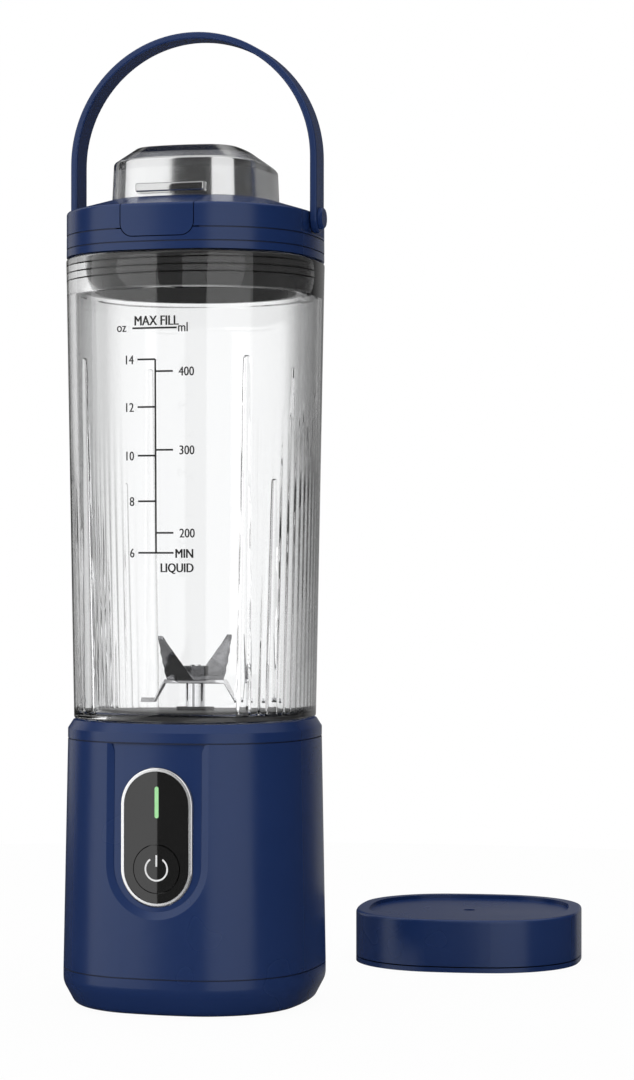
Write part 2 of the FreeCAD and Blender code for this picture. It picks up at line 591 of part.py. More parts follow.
def squircle(sketch, half, corner="corner_ratio"):
    """The bowed square: four flat arcs joined by four corner arcs, all tangent."""
    shift = f"({half}) * {CORNER_SHIFT.format(corner)}"
    side_radius = f"({half}) * side_ratio"
    side_shift = f"({half}) * (side_ratio - 1)"
    corner_radius = f"({half}) * {corner}"
    k = size(shift)
    c = size(side_shift)
    tilt = math.atan2(k, k + c)
    axis = Vector(0, 0, 1)
    curves = []
    for quarter in range(4):
        start = quarter * math.pi / 2
        side_centre = Vector(-c * math.cos(start), -c * math.sin(start), 0)
        side = Part.Circle(side_centre, axis, size(side_radius))
        curves.append(sketch.addGeometry(Part.ArcOfCircle(side, start - tilt, start + tilt)))
        diagonal = start + math.pi / 4
        corner_centre = Vector(math.cos(diagonal), math.sin(diagonal), 0) * (k * math.sqrt(2))
        bend = Part.Circle(corner_centre, axis, size(corner_radius))
        end = start + math.pi / 2 - tilt
        curves.append(sketch.addGeometry(Part.ArcOfCircle(bend, start + tilt, end)))
    for curve, following in zip(curves, curves[1:] + curves[:1]):
        sketch.addConstraint(Sketcher.Constraint("Tangent", curve, 2, following, 1))
    sides = curves[0::2]
    bends = curves[1::2]
    for group in (sides, bends):
        for curve in group[1:]:
            sketch.addConstraint(Sketcher.Constraint("Equal", group[0], curve))
    set_datum(sketch, Sketcher.Constraint("Radius", sides[0], size(side_radius)), side_radius)
    set_datum(sketch, Sketcher.Constraint("Radius", bends[0], size(corner_radius)), corner_radius)
    place_point(sketch, sides[0], 3, f"-({side_shift})", "0")
    place_point(sketch, sides[1], 3, "0", f"-({side_shift})")
    place_point(sketch, sides[2], 3, side_shift, "0")
    place_point(sketch, sides[3], 3, "0", side_shift)


# Features of a body

def new_body(name):
    return DOC.addObject("PartDesign::Body", name)


def extrude(body, sketch, length, cut=False, against=False):
    """Pad or cut along the sketch's normal, or against it."""
    feature = body.newObject("PartDesign::Pocket" if cut else "PartDesign::Pad", f"{body.Name}_run")
    feature.Profile = sketch
    bind(feature, "Length", length)
    feature.Reversed = against != cut
    return feature


def loft(body, sketches, cut=False):
    kind = "PartDesign::SubtractiveLoft" if cut else "PartDesign::AdditiveLoft"
    feature = body.newObject(kind, f"{body.Name}_loft")
    feature.Profile = sketches[0]
    feature.Sections = sketches[1:]
    feature.Ruled = True
    return feature


def revolve(body, sketch, cut=False):
    """Turn a sketch on an upright plane about the Z axis."""
    feature = body.newObject("PartDesign::Groove" if cut else "PartDesign::Revolution", f"{body.Name}_turn")
    feature.Profile = sketch
    feature.ReferenceAxis = (sketch, ["V_Axis"])
    feature.Angle = 360
    return feature


def edges_where(shape, test):
    """The names of the edges whose ends and middle all pass the test."""
    names = []
    for index, edge in enumerate(shape.Edges, start=1):
        first, last = edge.ParameterRange
        points = [edge.valueAt(first + share * (last - first)) for share in (0, 0.25, 0.5, 0.75, 1)]
        if all(test(point) for point in points):
            names.append(f"Edge{index}")
    return names


def edges_at_height(shape, level, reach=0):
    """The edges that lie at one height, further than reach from the Z axis."""
    height = size(level)
    inner = size(reach)

    def lies_there(point):
        return abs(point.z - height) < TOLERANCE and math.hypot(point.x, point.y) > inner

    return edges_where(shape, lies_there)


def round_edges(body, feature, edges, radius):
    dressing = body.newObject("PartDesign::Fillet", f"{body.Name}_rounding")
    dressing.Base = (feature, edges)
    bind(dressing, "Radius", radius)
    return dressing


def prism(name, plane, level, length, outline, against=False):
    """A body of one pad; outline draws its sketch."""
    body = new_body(name)
    sketch = sketch_on(body, plane, level)
    outline(sketch)
    extrude(body, sketch, length, against=against)
    return body


def squircle_prism(name, half, low, high):
    return prism(name, "XY_Plane", low, f"({high}) - ({low})", lambda sketch: squircle(sketch, half))


def squircle_loft(name, low, low_half, high, high_half):
    """A body that tapers from one bowed square to another."""
    body = new_body(name)
    sections = []
    for level, half in ((low, low_half), (high, high_half)):
        section = sketch_on(body, "XY_Plane", level)
        squircle(section, half)
        sections.append(section)
    loft(body, sections)
    return body


def turned(name, corners):
    """A body of revolution from its half section: radius and height of each corner."""
    body = new_body(name)
    sketch = sketch_on(body, "XZ_Plane")
    polygon(sketch, corners)
    revolve(body, sketch)
    return body


def ring(name, inner, outer, low, high):
    return turned(name, [(inner, low), (outer, low), (outer, high), (inner, high)])


# Plain solids and their combinations

def cylinder(name, radius, length, x="0", y="0", z="0", toward="up"):
    item = DOC.addObject("Part::Cylinder", name)
    item.Placement = Placement(Vector(), TURNS[toward])
    bind(item, "Radius", radius)
    bind(item, "Height", length)
    for axis, place in zip("xyz", (x, y, z)):
        bind(item, f"Placement.Base.{axis}", place)
    return item


def box(name, x, y, z):
    """A box between two expressions along each axis."""
    item = DOC.addObject("Part::Box", name)
    for axis, side, (low, high) in zip("xyz", ("Length", "Width", "Height"), (x, y, z)):
        bind(item, side, f"({high}) - ({low})")
        bind(item, f"Placement.Base.{axis}", low)
    return item


def fuse(name, items):
    result = DOC.addObject("Part::MultiFuse", name)
    result.Shapes = items
    result.Refine = True
    return result


def group(name, items):
    """Separate solids of one kind in one node."""
    result = DOC.addObject("Part::Compound", name)
    result.Links = items
    return result


def cut(name, base, tools):
    result = DOC.addObject("Part::Cut", name)
    result.Base = base
    result.Tool = tools[0] if len(tools) == 1 else fuse(f"{name}_tools", tools)
    return result


def screw(name, head_radius, head_thick, radius, length, x, y, z, toward="up"):
    """A screw whose head's outer face is at the given place; it points one way."""
    sign = {"up": "+", "down": "-"}[toward]
    low = {"up": z, "down": f"({z}) - ({head_thick})"}[toward]
    head = cylinder(f"{name}_head", head_radius, head_thick, x, y, low)
    shank_low = f"({z}) {sign} ({head_thick})" if toward == "up" else f"({z}) - ({head_thick}) - ({length})"
    shank = cylinder(f"{name}_shank", radius, length, x, y, shank_low)
    return fuse(name, [head, shank])


# Levels and fits that several pieces share

HOUSING_LOW = "(lower_seam + seam_gap)"
COLLAR_LOW = "(upper_seam + seam_gap)"
INNER_LOW_HALF = "(base_half - base_wall)"
INNER_HIGH_HALF = "(shoulder_half - base_wall)"
FLOOR_TOP = "(pad_proud + floor_thick)"
CELL_LOW = f"({FLOOR_TOP} + tray_thick)"
HEAD_SEAT = "(pad_thick + close_gap + case_head_thick)"
FLANGE_LOW = "flange_low"
SKIRT_LOW = f"({FLANGE_LOW} + deck_thick)"
MOUNT_TOP = "(motor_high + mount_thick)"
NECK_LOW = f"({SKIRT_LOW} + jar_seal_thick + running_gap)"
THREAD_BORE = "(neck_radius + ridge_height + 2 * running_gap)"
HUB_TOP = "(deck_top + hub_proud)"
JAR_LOW = "(collar_top + running_gap)"
UPPER_BLADE = "(lower_blade_height + blade_thick)"
NUT_LOW = "(lower_blade_height + 2 * blade_thick)"
LID_TOP_LOW = "(skirt_seam + seam_gap)"
PLUG_TOP_LOW = "(skirt_seam - plug_top_thick)"
CAP_LIFT = "(travel_tall - travel_sunk - travel_wall)"
CASE_POSTS = [
    ("front_post_x", "-front_post_y"),
    ("-front_post_x", "-front_post_y"),
    ("side_post_x", "side_post_y"),
    ("-side_post_x", "side_post_y"),
]
DECK_SCREWS = [
    (f"{across}deck_screw_place", f"{along}deck_screw_place") for across in ("", "-") for along in ("", "-")
]
BOTH_SIDES = [("right", ""), ("left", "-")]


def bores(name, places, radius, length, z):
    """Upright holes at a list of places."""
    return [cylinder(f"{name}_{x}_{y}".replace("-", "minus_"), radius, length, x, y, z) for x, y in places]


# Base

def foot_pad():
    node(squircle_prism("pad_solid", "pad_half", "0", "pad_thick"), "foot_pad")


def bottom_cover():
    body = new_body("cover_shell")
    underside = sketch_on(body, "XY_Plane", "pad_proud")
    squircle(underside, "flat_half")
    shoulder = sketch_on(body, "XY_Plane", "bevel_top")
    squircle(shoulder, "base_half")
    loft(body, [underside, shoulder])
    band = sketch_on(body, "XY_Plane", "bevel_top")
    squircle(band, "base_half")
    upright = extrude(body, band, "lower_seam - bevel_top")
    DOC.recompute()
    upper = round_edges(body, upright, edges_at_height(upright.Shape, "bevel_top"), "bevel_round")
    DOC.recompute()
    round_edges(body, upper, edges_at_height(upper.Shape, "pad_proud"), "sole_round")
    lip = sketch_on(body, "XY_Plane", "lower_seam")
    squircle(lip, f"{INNER_LOW_HALF} - close_gap")
    extrude(body, lip, "lip_height")
    inside = f"{INNER_LOW_HALF} - close_gap - lip_wall"
    lowest = sketch_on(body, "XY_Plane", FLOOR_TOP)
    squircle(lowest, "floor_half")
    widest = sketch_on(body, "XY_Plane", CELL_LOW)
    squircle(widest, inside)
    loft(body, [lowest, widest], cut=True)
    mouth = sketch_on(body, "XY_Plane", CELL_LOW)
    squircle(mouth, inside)
    extrude(body, mouth, f"lower_seam + lip_height - {CELL_LOW}", cut=True)
    seats = bores("cover_boss", CASE_POSTS, "post_radius", f"post_foot - {FLOOR_TOP} + close_gap",
                  f"{FLOOR_TOP} - close_gap")
    solid = fuse("cover_solid", [body] + seats)
    pad_place = squircle_prism("pad_place", "pad_half + close_gap", "0", "pad_thick")
    heads = bores("cover_head", CASE_POSTS, "case_screw_head + close_gap", HEAD_SEAT, "0")
    shanks = bores("cover_bore", CASE_POSTS, "case_screw_radius + close_gap", "post_foot", "close_gap")
    node(cut("cover", solid, [pad_place] + heads + shanks), "base_bottom_cover")


def case_screws():
    screws = []
    for index, (x, y) in enumerate(CASE_POSTS):
        screws.append(screw(f"case_screw_{index}", "case_screw_head", "case_head_thick", "case_screw_radius",
                            "case_screw_length", x, y, "pad_thick + close_gap"))
    node(group("case_screw_set", screws), "base_screws")


def recess_outline(sketch):
    """The recess in front view: round below, running out above the upper seam."""
    low = "(recess_centre - recess_radius)"
    high = "(upper_seam + 2 * recess_radius)"
    stadium(sketch, "recess_radius", f"({high} - {low}) / 2", y=f"({high} + {low}) / 2")


def recess_edges(shape, outer):
    """The edges where the recess meets the front face."""
    radius = size("recess_radius")
    centre = size("recess_centre")

    def lies_there(point):
        below = max(centre - point.z, 0)
        on_outline = abs(math.hypot(point.x, below) - radius) < 10 * TOLERANCE
        return on_outline and point.y < 0 and not outer.isInside(point, 10 * TOLERANCE, False)

    return [int(name[len("Edge"):]) for name in edges_where(shape, lies_there)]


def housing():
    outer = squircle_loft("housing_outer", HOUSING_LOW, "base_half", "upper_seam", "shoulder_half")
    core = squircle_loft("recess_core", HOUSING_LOW, "base_half - recess_depth", "upper_seam",
                         "shoulder_half - recess_depth")
    front = prism("recess_prism", "XZ_Plane", "flange_front", "base_half - flange_front + base_wall",
                  recess_outline)
    recessed = cut("housing_recessed", outer, [cut("recess_tool", front, [core])])
    DOC.recompute()
    bevelled = DOC.addObject("Part::Chamfer", "housing_bevelled")
    bevelled.Base = recessed
    depth = size("recess_depth") - size("close_gap")
    edges = recess_edges(recessed.Shape, outer.Shape)
    bevelled.Edges = [(edge, size("recess_bevel"), depth) for edge in edges]
    inside = squircle_loft("housing_inside", HOUSING_LOW, INNER_LOW_HALF, "upper_seam", INNER_HIGH_HALF)
    shell = cut("housing_shell", bevelled, [inside])
    posts = bores("housing_post", CASE_POSTS, "post_radius", "post_height", "post_foot")
    web_low = "lower_seam + lip_height + running_gap"
    ties = []
    for x, y in CASE_POSTS:
        ends = ("-base_half", x) if x.startswith("-") else (x, "base_half")
        ties.append(box(f"web_{x}".replace("-", "minus_"), ends, (f"{y} - lip_wall", f"{y} + lip_wall"),
                        (web_low, "post_foot + post_height")))
    ties.append(box("rail", ("-rail_half", "rail_half"), ("port_back", "base_half"),
                    ("rail_low", "rail_low + rail_thick")))
    limit = squircle_loft("tie_limit", HOUSING_LOW, f"{INNER_LOW_HALF} + close_gap", "upper_seam",
                          f"{INNER_HIGH_HALF} + close_gap")
    trimmed = DOC.addObject("Part::Common", "housing_ties")
    trimmed.Base = fuse("tie_set", ties)
    trimmed.Tool = limit
    solid = fuse("housing_solid", [shell, trimmed] + posts)
    window = prism("panel_window", "XZ_Plane", "flange_front - flange_thick", "base_half",
                   lambda sketch: stadium(sketch, "bezel_radius + close_gap", "bezel_tall + close_gap",
                                          y="panel_centre"))
    port = prism("port_window", "XZ_Plane", "-port_back", "base_half - port_back",
                 lambda sketch: stadium(sketch, "port_radius + running_gap", "port_half + running_gap",
                                        y="port_height", upright=False), against=True)
    flap = flap_block("flap_place", "running_gap", "flap_face - flap_thick - close_gap",
                      "base_half + base_wall")
    threads = bores("housing_bore", CASE_POSTS, "case_screw_radius + close_gap",
                    "case_screw_length", "post_foot - close_gap")
    node(cut("housing", solid, [window, port, flap] + threads), "base_housing")


def flap_block(name, gap, inner, outer):
    """The port cover's rounded rectangle, larger by a gap, between two distances behind the axis."""
    body = prism(name, "XZ_Plane", f"-({inner})", f"({outer}) - ({inner})",
                 lambda sketch: rectangle(sketch, f"flap_half + {gap}", f"port_height - flap_tall - {gap}",
                                          f"port_height + flap_tall + {gap}"), against=True)
    DOC.recompute()
    shape = body.Shape
    across = size("flap_half") + size(gap)

    def runs_back(edge):
        ends = [vertex.Point for vertex in edge.Vertexes]
        return abs(ends[0].x - ends[1].x) + abs(ends[0].z - ends[1].z) < TOLERANCE

    upright = [f"Edge{index}" for index, edge in enumerate(shape.Edges, start=1)
               if runs_back(edge) and abs(abs(edge.Vertexes[0].Point.x) - across) < TOLERANCE]
    round_edges(body, body.Tip, upright, "flap_corner")
    return body


def port_cover():
    plate = flap_block("port_flap", "0", "flap_face - flap_thick", "flap_face")
    stub = prism("port_stub", "XZ_Plane", "-(flap_face - flap_thick - stub_depth)", "stub_depth",
                 lambda sketch: stadium(sketch, "stub_radius", "stub_half", y="port_height", upright=False),
                 against=True)
    node(fuse("port_cover", [plate, stub]), "charge_port_cover")


def collar():
    body = new_body("collar")
    band = sketch_on(body, "XY_Plane", COLLAR_LOW)
    squircle(band, "shoulder_half")
    extrude(body, band, f"collar_edge - {COLLAR_LOW}")
    wide = sketch_on(body, "XY_Plane", "collar_edge")
    squircle(wide, "shoulder_half")
    narrow = sketch_on(body, "XY_Plane", "collar_top")
    squircle(narrow, "collar_top_half")
    loft(body, [wide, narrow])
    skirt = sketch_on(body, "XY_Plane", SKIRT_LOW)
    squircle(skirt, f"{INNER_HIGH_HALF} - skirt_gap")
    extrude(body, skirt, f"{COLLAR_LOW} - {SKIRT_LOW}")
    bore = sketch_on(body, "XY_Plane", SKIRT_LOW)
    circle(bore, THREAD_BORE)
    extrude(body, bore, f"collar_top - {SKIRT_LOW}", cut=True)
    threads = bores("collar_bore", DECK_SCREWS, "small_screw_radius + close_gap",
                    "deck_screw_length - deck_thick + close_gap", SKIRT_LOW)
    node(cut("collar_cut", body, threads), "base_collar")


def deck():
    body = new_body("deck")
    flange = sketch_on(body, "XY_Plane", FLANGE_LOW)
    squircle(flange, f"{INNER_HIGH_HALF} - skirt_gap")
    extrude(body, flange, "deck_thick")
    raised = sketch_on(body, "XZ_Plane")
    polygon(raised, [("0", FLANGE_LOW), ("deck_radius", FLANGE_LOW), ("deck_radius", "deck_top"),
                     ("hub_radius", "deck_top"), ("hub_radius", HUB_TOP), ("0", HUB_TOP)])
    revolve(body, raised)
    under = sketch_on(body, "XZ_Plane")
    well = "deck_radius - deck_wall"
    ceiling = "deck_top - deck_wall"
    lip_low = f"{HUB_TOP} - hub_lip"
    shaft_hole = "blade_shaft_radius + running_gap"
    polygon(under, [("0", FLANGE_LOW), (well, FLANGE_LOW), (well, ceiling), ("boss_radius", ceiling),
                    ("boss_radius", "boss_low"), ("shaft_bearing_radius", "boss_low"),
                    ("shaft_bearing_radius", "shaft_seal_low"), ("shaft_seal_radius", "shaft_seal_low"),
                    ("shaft_seal_radius", lip_low), (shaft_hole, lip_low), (shaft_hole, HUB_TOP),
                    ("0", HUB_TOP)])
    revolve(body, under, cut=True)
    mount_places = [("mount_post_x", "0"), ("-mount_post_x", "0")]
    posts = bores("mount_post", mount_places, "mount_post_radius", f"{FLANGE_LOW} - {MOUNT_TOP} + close_gap",
                  MOUNT_TOP)
    solid = fuse("deck_solid", [body] + posts)
    threads = bores("mount_bore", mount_places, "small_screw_radius + close_gap",
                    "mount_screw_length - mount_thick", MOUNT_TOP)
    holes = bores("deck_bore", DECK_SCREWS, "small_screw_radius + close_gap", "deck_thick", FLANGE_LOW)
    node(cut("deck_cut", solid, threads + holes), "base_deck")


def small_screws(label, places, length, z, toward="up"):
    screws = []
    for index, (x, y) in enumerate(places):
        screws.append(screw(f"{label}_{index}", "small_screw_head", "small_head_thick", "small_screw_radius",
                            length, x, y, z, toward))
    node(group(f"{label}_set", screws), label)


def jar_seal():
    node(ring("jar_seal_ring", "jar_seal_inner", "jar_seal_outer", SKIRT_LOW, f"{SKIRT_LOW} + jar_seal_thick"),
         "jar_seal")


# Control panel

def bezel():
    body = new_body("bezel")
    flange = sketch_on(body, "XZ_Plane", "flange_front - flange_thick")
    stadium(flange, "bezel_radius + flange_extra", "bezel_tall + flange_extra", y="panel_centre")
    extrude(body, flange, "flange_thick")
    outline = sketch_on(body, "XZ_Plane", "flange_front")
    stadium(outline, "bezel_radius", "bezel_tall", y="panel_centre")
    rim = extrude(body, outline, "bezel_front - flange_front")
    DOC.recompute()
    front = size("bezel_front")
    edges = edges_where(rim.Shape, lambda point: abs(point.y + front) < TOLERANCE)
    round_edges(body, rim, edges, "bezel_round")
    opening = sketch_on(body, "XZ_Plane", "flange_front - flange_thick")
    stadium(opening, "bezel_radius - bezel_ring", "bezel_tall - bezel_ring", y="panel_centre")
    extrude(body, opening, "bezel_front - flange_front + flange_thick", cut=True)
    pegs = []
    for side, across in BOTH_SIDES:
        for level, up in (("upper", "+"), ("lower", "-")):
            height = f"panel_centre {up} (bezel_tall - bezel_radius)"
            pegs.append(cylinder(f"peg_{side}_{level}", "peg_radius",
                                 "flange_front - flange_thick - board_front", f"{across}peg_x",
                                 "-board_front", height, "front"))
    node(fuse("bezel_solid", [body] + pegs), "control_bezel")


def panel():
    front = "(bezel_front - panel_sunk)"
    plate = prism("panel_plate", "XZ_Plane", f"{front} - panel_thick", "panel_thick",
                  lambda sketch: stadium(sketch, "bezel_radius - bezel_ring - bearing_gap",
                                         "bezel_tall - bezel_ring - bearing_gap", y="panel_centre"))
    hole = cylinder("button_hole", "button_radius + running_gap", "panel_thick", "0",
                    f"panel_thick - {front}", "button_centre", "front")
    slot = prism("light_slot", "XZ_Plane", f"{front} - panel_thick", "panel_thick",
                 lambda sketch: stadium(sketch, "light_radius + bearing_gap", "light_tall + bearing_gap",
                                        y="light_centre"))
    node(cut("panel", plate, [hole, slot]), "control_panel")


def power_button():
    face = "(bezel_front - panel_sunk + button_proud)"
    flange = "(bezel_front - panel_sunk - panel_thick - running_gap)"
    back = f"({flange} - button_flange_thick)"
    cap = cylinder("button_cap", "button_radius", f"{face} - {flange}", "0", f"-{flange}", "button_centre",
                   "front")
    plate = cylinder("button_plate", "button_flange", "button_flange_thick", "0", f"-{back}", "button_centre",
                     "front")
    stem_end = "(board_front + switch_thick + plunger_length + running_gap + button_travel)"
    stem = cylinder("button_stem_solid", "button_stem", f"{back} - {stem_end}", "0", f"-{stem_end}",
                    "button_centre", "front")
    node(fuse("button", [cap, plate, stem]), "power_button")


def indicator():
    node(prism("light_pipe", "XZ_Plane", "board_front", "bezel_front - panel_sunk - board_front + bearing_gap",
               lambda sketch: stadium(sketch, "light_radius", "light_tall", y="light_centre")),
         "indicator_light")


def control_board():
    node(box("control_plate", ("-board_half", "board_half"), ("-board_front", "board_thick - board_front"),
             ("board_low", "board_high")), "control_board")


def tact_switch():
    base = box("switch_base", ("-switch_half", "switch_half"), ("-board_front - switch_thick", "-board_front"),
               ("button_centre - switch_half", "button_centre + switch_half"))
    plunger = cylinder("switch_plunger", "plunger_radius", "plunger_length", "0", "-board_front - switch_thick",
                       "button_centre", "front")
    node(fuse("switch", [base, plunger]), "tact_switch")


# Charging and battery

def usb_socket():
    body = new_body("socket")
    shell = sketch_on(body, "XZ_Plane", "-port_mouth")
    stadium(shell, "port_radius", "port_half", y="port_height", upright=False)
    extrude(body, shell, "port_mouth - port_back")
    inside = sketch_on(body, "XZ_Plane", "-port_mouth")
    stadium(inside, "port_radius - port_wall", "port_half - port_wall", y="port_height", upright=False)
    extrude(body, inside, "port_deep", cut=True)
    deep = "(port_mouth - port_deep)"
    tongue = box("socket_tongue", ("-tongue_half", "tongue_half"),
                 (f"{deep} - port_wall", f"{deep} + tongue_length"),
                 ("port_height - tongue_thick / 2", "port_height + tongue_thick / 2"))
    node(fuse("socket_solid", [body, tongue]), "usb_socket")


def charge_board():
    node(box("charge_plate", ("-charge_half", "charge_half"), ("port_back - board_thick", "port_back"),
             ("charge_low", "charge_high")), "charge_board")


def battery():
    cells = []
    pads = []
    for side, across in BOTH_SIDES:
        x = f"{across}cell_place"
        can = cylinder(f"cell_{side}", "cell_radius", "cell_length - cell_nub_tall", x, "cell_place", CELL_LOW)
        nub = cylinder(f"cell_nub_{side}", "cell_nub", "cell_nub_tall", x, "cell_place",
                       f"{CELL_LOW} + cell_length - cell_nub_tall")
        cells.append(fuse(f"cell_solid_{side}", [can, nub]))
        pads.append(cylinder(f"tray_pad_{side}", "tray_radius", "tray_thick", x, "cell_place", FLOOR_TOP))
    web = box("tray_bar", ("-cell_place", "cell_place"), ("cell_place - tray_web", "cell_place + tray_web"),
              (FLOOR_TOP, CELL_LOW))
    node(group("cell_pair", cells), "battery_cells")
    node(fuse("tray", pads + [web]), "battery_holder")


# Motor

def motor():
    bush_hole = "bush_radius + press_gap"
    can_inside = "motor_radius - can_wall"
    places = [("motor_screw_x", "0"), ("-motor_screw_x", "0")]
    can = turned("can_shell", [(bush_hole, "motor_high - can_top"), (can_inside, "motor_high - can_top"),
                               (can_inside, "motor_low"), ("motor_radius", "motor_low"),
                               ("motor_radius", "motor_high"), (bush_hole, "motor_high")])
    can_bores = bores("can_bore", places, "small_screw_radius + close_gap", "can_top", "motor_high - can_top")
    node(cut("can", can, can_bores), "motor_can")
    flange_low = "motor_low - cap_thick"
    spigot = "motor_radius - can_wall - close_gap"
    spigot_top = "motor_low + cap_spigot"
    boss_floor = "cap_boss_low + cap_boss_floor"
    node(turned("end_cap", [("0", "cap_boss_low"), ("cap_boss_radius", "cap_boss_low"),
                            ("cap_boss_radius", flange_low), ("motor_radius", flange_low),
                            ("motor_radius", "motor_low"), (spigot, "motor_low"), (spigot, spigot_top),
                            (bush_hole, spigot_top), (bush_hole, boss_floor), ("0", boss_floor)]),
         "motor_end_cap")
    shaft_bore = "motor_shaft_radius + bearing_gap"
    node(ring("bush_high", shaft_bore, "bush_radius", "motor_high - bush_length", "motor_high"),
         "motor_bushing_upper")
    node(ring("bush_low", shaft_bore, "bush_radius", boss_floor, f"{boss_floor} + bush_length"),
         "motor_bushing_lower")
    tube = ring("magnet_ring", "magnet_inner", "motor_radius - can_wall - press_gap", "magnet_low",
                "magnet_high")
    gap = box("magnet_split", ("-magnet_gap", "magnet_gap"), ("-motor_radius", "motor_radius"),
              ("magnet_low", "magnet_high"))
    node(cut("magnets", tube, [gap]), "motor_magnets")


def motor_mount():
    plate = prism("mount_plate", "XY_Plane", "motor_high", "mount_thick",
                  lambda sketch: stadium(sketch, "mount_deep", "mount_half", upright=False))
    centre = cylinder("mount_centre", "mount_hole", "mount_thick", z="motor_high")
    places = [(f"{sign}{x}", "0") for x in ("motor_screw_x", "mount_post_x") for sign in ("", "-")]
    holes = bores("mount_hole", places, "small_screw_radius + close_gap", "mount_thick", "motor_high")
    node(cut("mount", plate, [centre] + holes), "motor_mount")


# Everything that turns with the blades

def rotor():
    node(cylinder("shaft_rod", "motor_shaft_radius", "motor_shaft_high - motor_shaft_low", z="motor_shaft_low"),
         "motor_shaft")
    bore = "motor_shaft_radius + press_gap"
    coil_low = "core_low - coil_tall"
    coil_high = "core_high + coil_tall"
    node(turned("core", [(bore, coil_low), ("coil_radius", coil_low), ("coil_radius", "core_low"),
                         ("core_radius", "core_low"), ("core_radius", "core_high"),
                         ("coil_radius", "core_high"), ("coil_radius", coil_high), (bore, coil_high)]),
         "armature")
    node(ring("copper_ring", bore, "commutator_radius", "commutator_low", "commutator_high"), "commutator")
    socket_top = "motor_shaft_high + close_gap"
    stud_top = f"{NUT_LOW} + nut_tall + seam_gap"
    node(turned("spindle", [(bore, "blade_shaft_low"), ("blade_shaft_radius", "blade_shaft_low"),
                            ("blade_shaft_radius", "lower_blade_height"), ("blade_eye", "lower_blade_height"),
                            ("blade_eye", stud_top), ("0", stud_top), ("0", socket_top), (bore, socket_top)]),
         "blade_shaft")


def blade(label, side_view, plan, half, turn):
    """A bent plate: its side view pulled across and trimmed to its plan, with an eye for the stud."""
    strip = prism(f"{label}_strip", "XZ_Plane", half, f"2 * {half}",
                  lambda sketch: polygon(sketch, side_view), against=True)
    around = f"{UPPER_BLADE} + 2 * upper_rise - deck_top"
    trim = prism(f"{label}_trim", "XY_Plane", "deck_top", around, lambda sketch: polygon(sketch, plan))
    shaped = DOC.addObject("Part::Common", f"{label}_shaped")
    shaped.Base = strip
    shaped.Tool = trim
    eye = cylinder(f"{label}_eye", "blade_eye + bearing_gap", around, z="deck_top")
    finished = cut(f"{label}_cut", shaped, [eye])
    bind(finished, "Placement.Rotation.Angle", turn)
    node(finished, label)


def bend_shift(run, rise):
    """How far the upper face's bend stands from the lower face's, for a plate bent by rise over run."""
    return f"blade_thick * (sqrt(({run})^2 + ({rise})^2) - ({run})) / ({rise})"


def upper_blade():
    low = UPPER_BLADE
    top = f"({low} + blade_thick)"
    run = "(upper_reach - blade_hub)"
    shift = f"({bend_shift(run, 'upper_rise')})"
    tip_top = f"{top} + upper_rise + {shift} * upper_rise / {run}"
    side_view = [("-upper_reach", f"{low} + upper_rise"), ("-blade_hub", low), ("blade_hub", low),
                 ("upper_reach", f"{low} + upper_rise"), ("upper_reach", tip_top),
                 (f"blade_hub - {shift}", top), (f"{shift} - blade_hub", top), ("-upper_reach", tip_top)]
    plan = [("-upper_reach", "-upper_tip_shift"), ("-blade_hub", "-upper_half"), ("blade_hub", "-upper_half"),
            ("upper_reach", "upper_tip_shift"), ("blade_hub", "upper_half"), ("-blade_hub", "upper_half")]
    blade("blade_upper", side_view, plan, "upper_half", "upper_turn")


def lower_blade():
    low = "lower_blade_height"
    top = "(lower_blade_height + blade_thick)"
    run = "(lower_bend - blade_hub)"
    shift = f"({bend_shift(run, 'lower_drop')})"
    side_view = [("-lower_reach", f"{low} - lower_drop"), ("-lower_bend", f"{low} - lower_drop"),
                 ("-blade_hub", low), ("blade_hub", low), ("lower_bend", f"{low} - lower_drop"),
                 ("lower_reach", f"{low} - lower_drop"), ("lower_reach", f"{top} - lower_drop"),
                 (f"lower_bend + {shift}", f"{top} - lower_drop"), (f"blade_hub + {shift}", top),
                 (f"-blade_hub - {shift}", top), (f"-lower_bend - {shift}", f"{top} - lower_drop"),
                 ("-lower_reach", f"{top} - lower_drop")]
    plan = [("-lower_reach", "-lower_tip_half"), ("-blade_hub", "-lower_half"), ("blade_hub", "-lower_half"),
            ("lower_reach", "-lower_tip_half"), ("lower_reach", "lower_tip_half"),
            ("blade_hub", "lower_half"), ("-blade_hub", "lower_half"), ("-lower_reach", "lower_tip_half")]
    blade("blade_lower", side_view, plan, "lower_half", "lower_turn")


def blade_nut():
    corners = [(f"nut_flat / cos(30) * cos({turn})", f"nut_flat / cos(30) * sin({turn})")
               for turn in range(30, 390, 60)]
    solid = prism("nut_solid", "XY_Plane", NUT_LOW, "nut_tall", lambda sketch: polygon(sketch, corners))
    node(cut("nut", solid, [cylinder("nut_bore", "blade_eye + bearing_gap", "nut_tall", z=NUT_LOW)]),
         "blade_nut")


def shaft_fittings():
    bore = "blade_shaft_radius + bearing_gap"
    node(ring("bearing_ring", bore, "shaft_bearing_radius - press_gap", "shaft_seal_low - shaft_bearing_length",
              "shaft_seal_low"), "shaft_bearing")
    node(ring("seal_ring", bore, "shaft_seal_radius - press_gap", "shaft_seal_low",
              f"{HUB_TOP} - hub_lip - close_gap"), "shaft_seal")


# Jar

def jar_half(level):
    """The jar's outer half width at a height."""
    share = f"(({level}) - {JAR_LOW}) / (jar_top - {JAR_LOW})"
    return f"(jar_foot_half + (jar_top_half - jar_foot_half) * {share})"


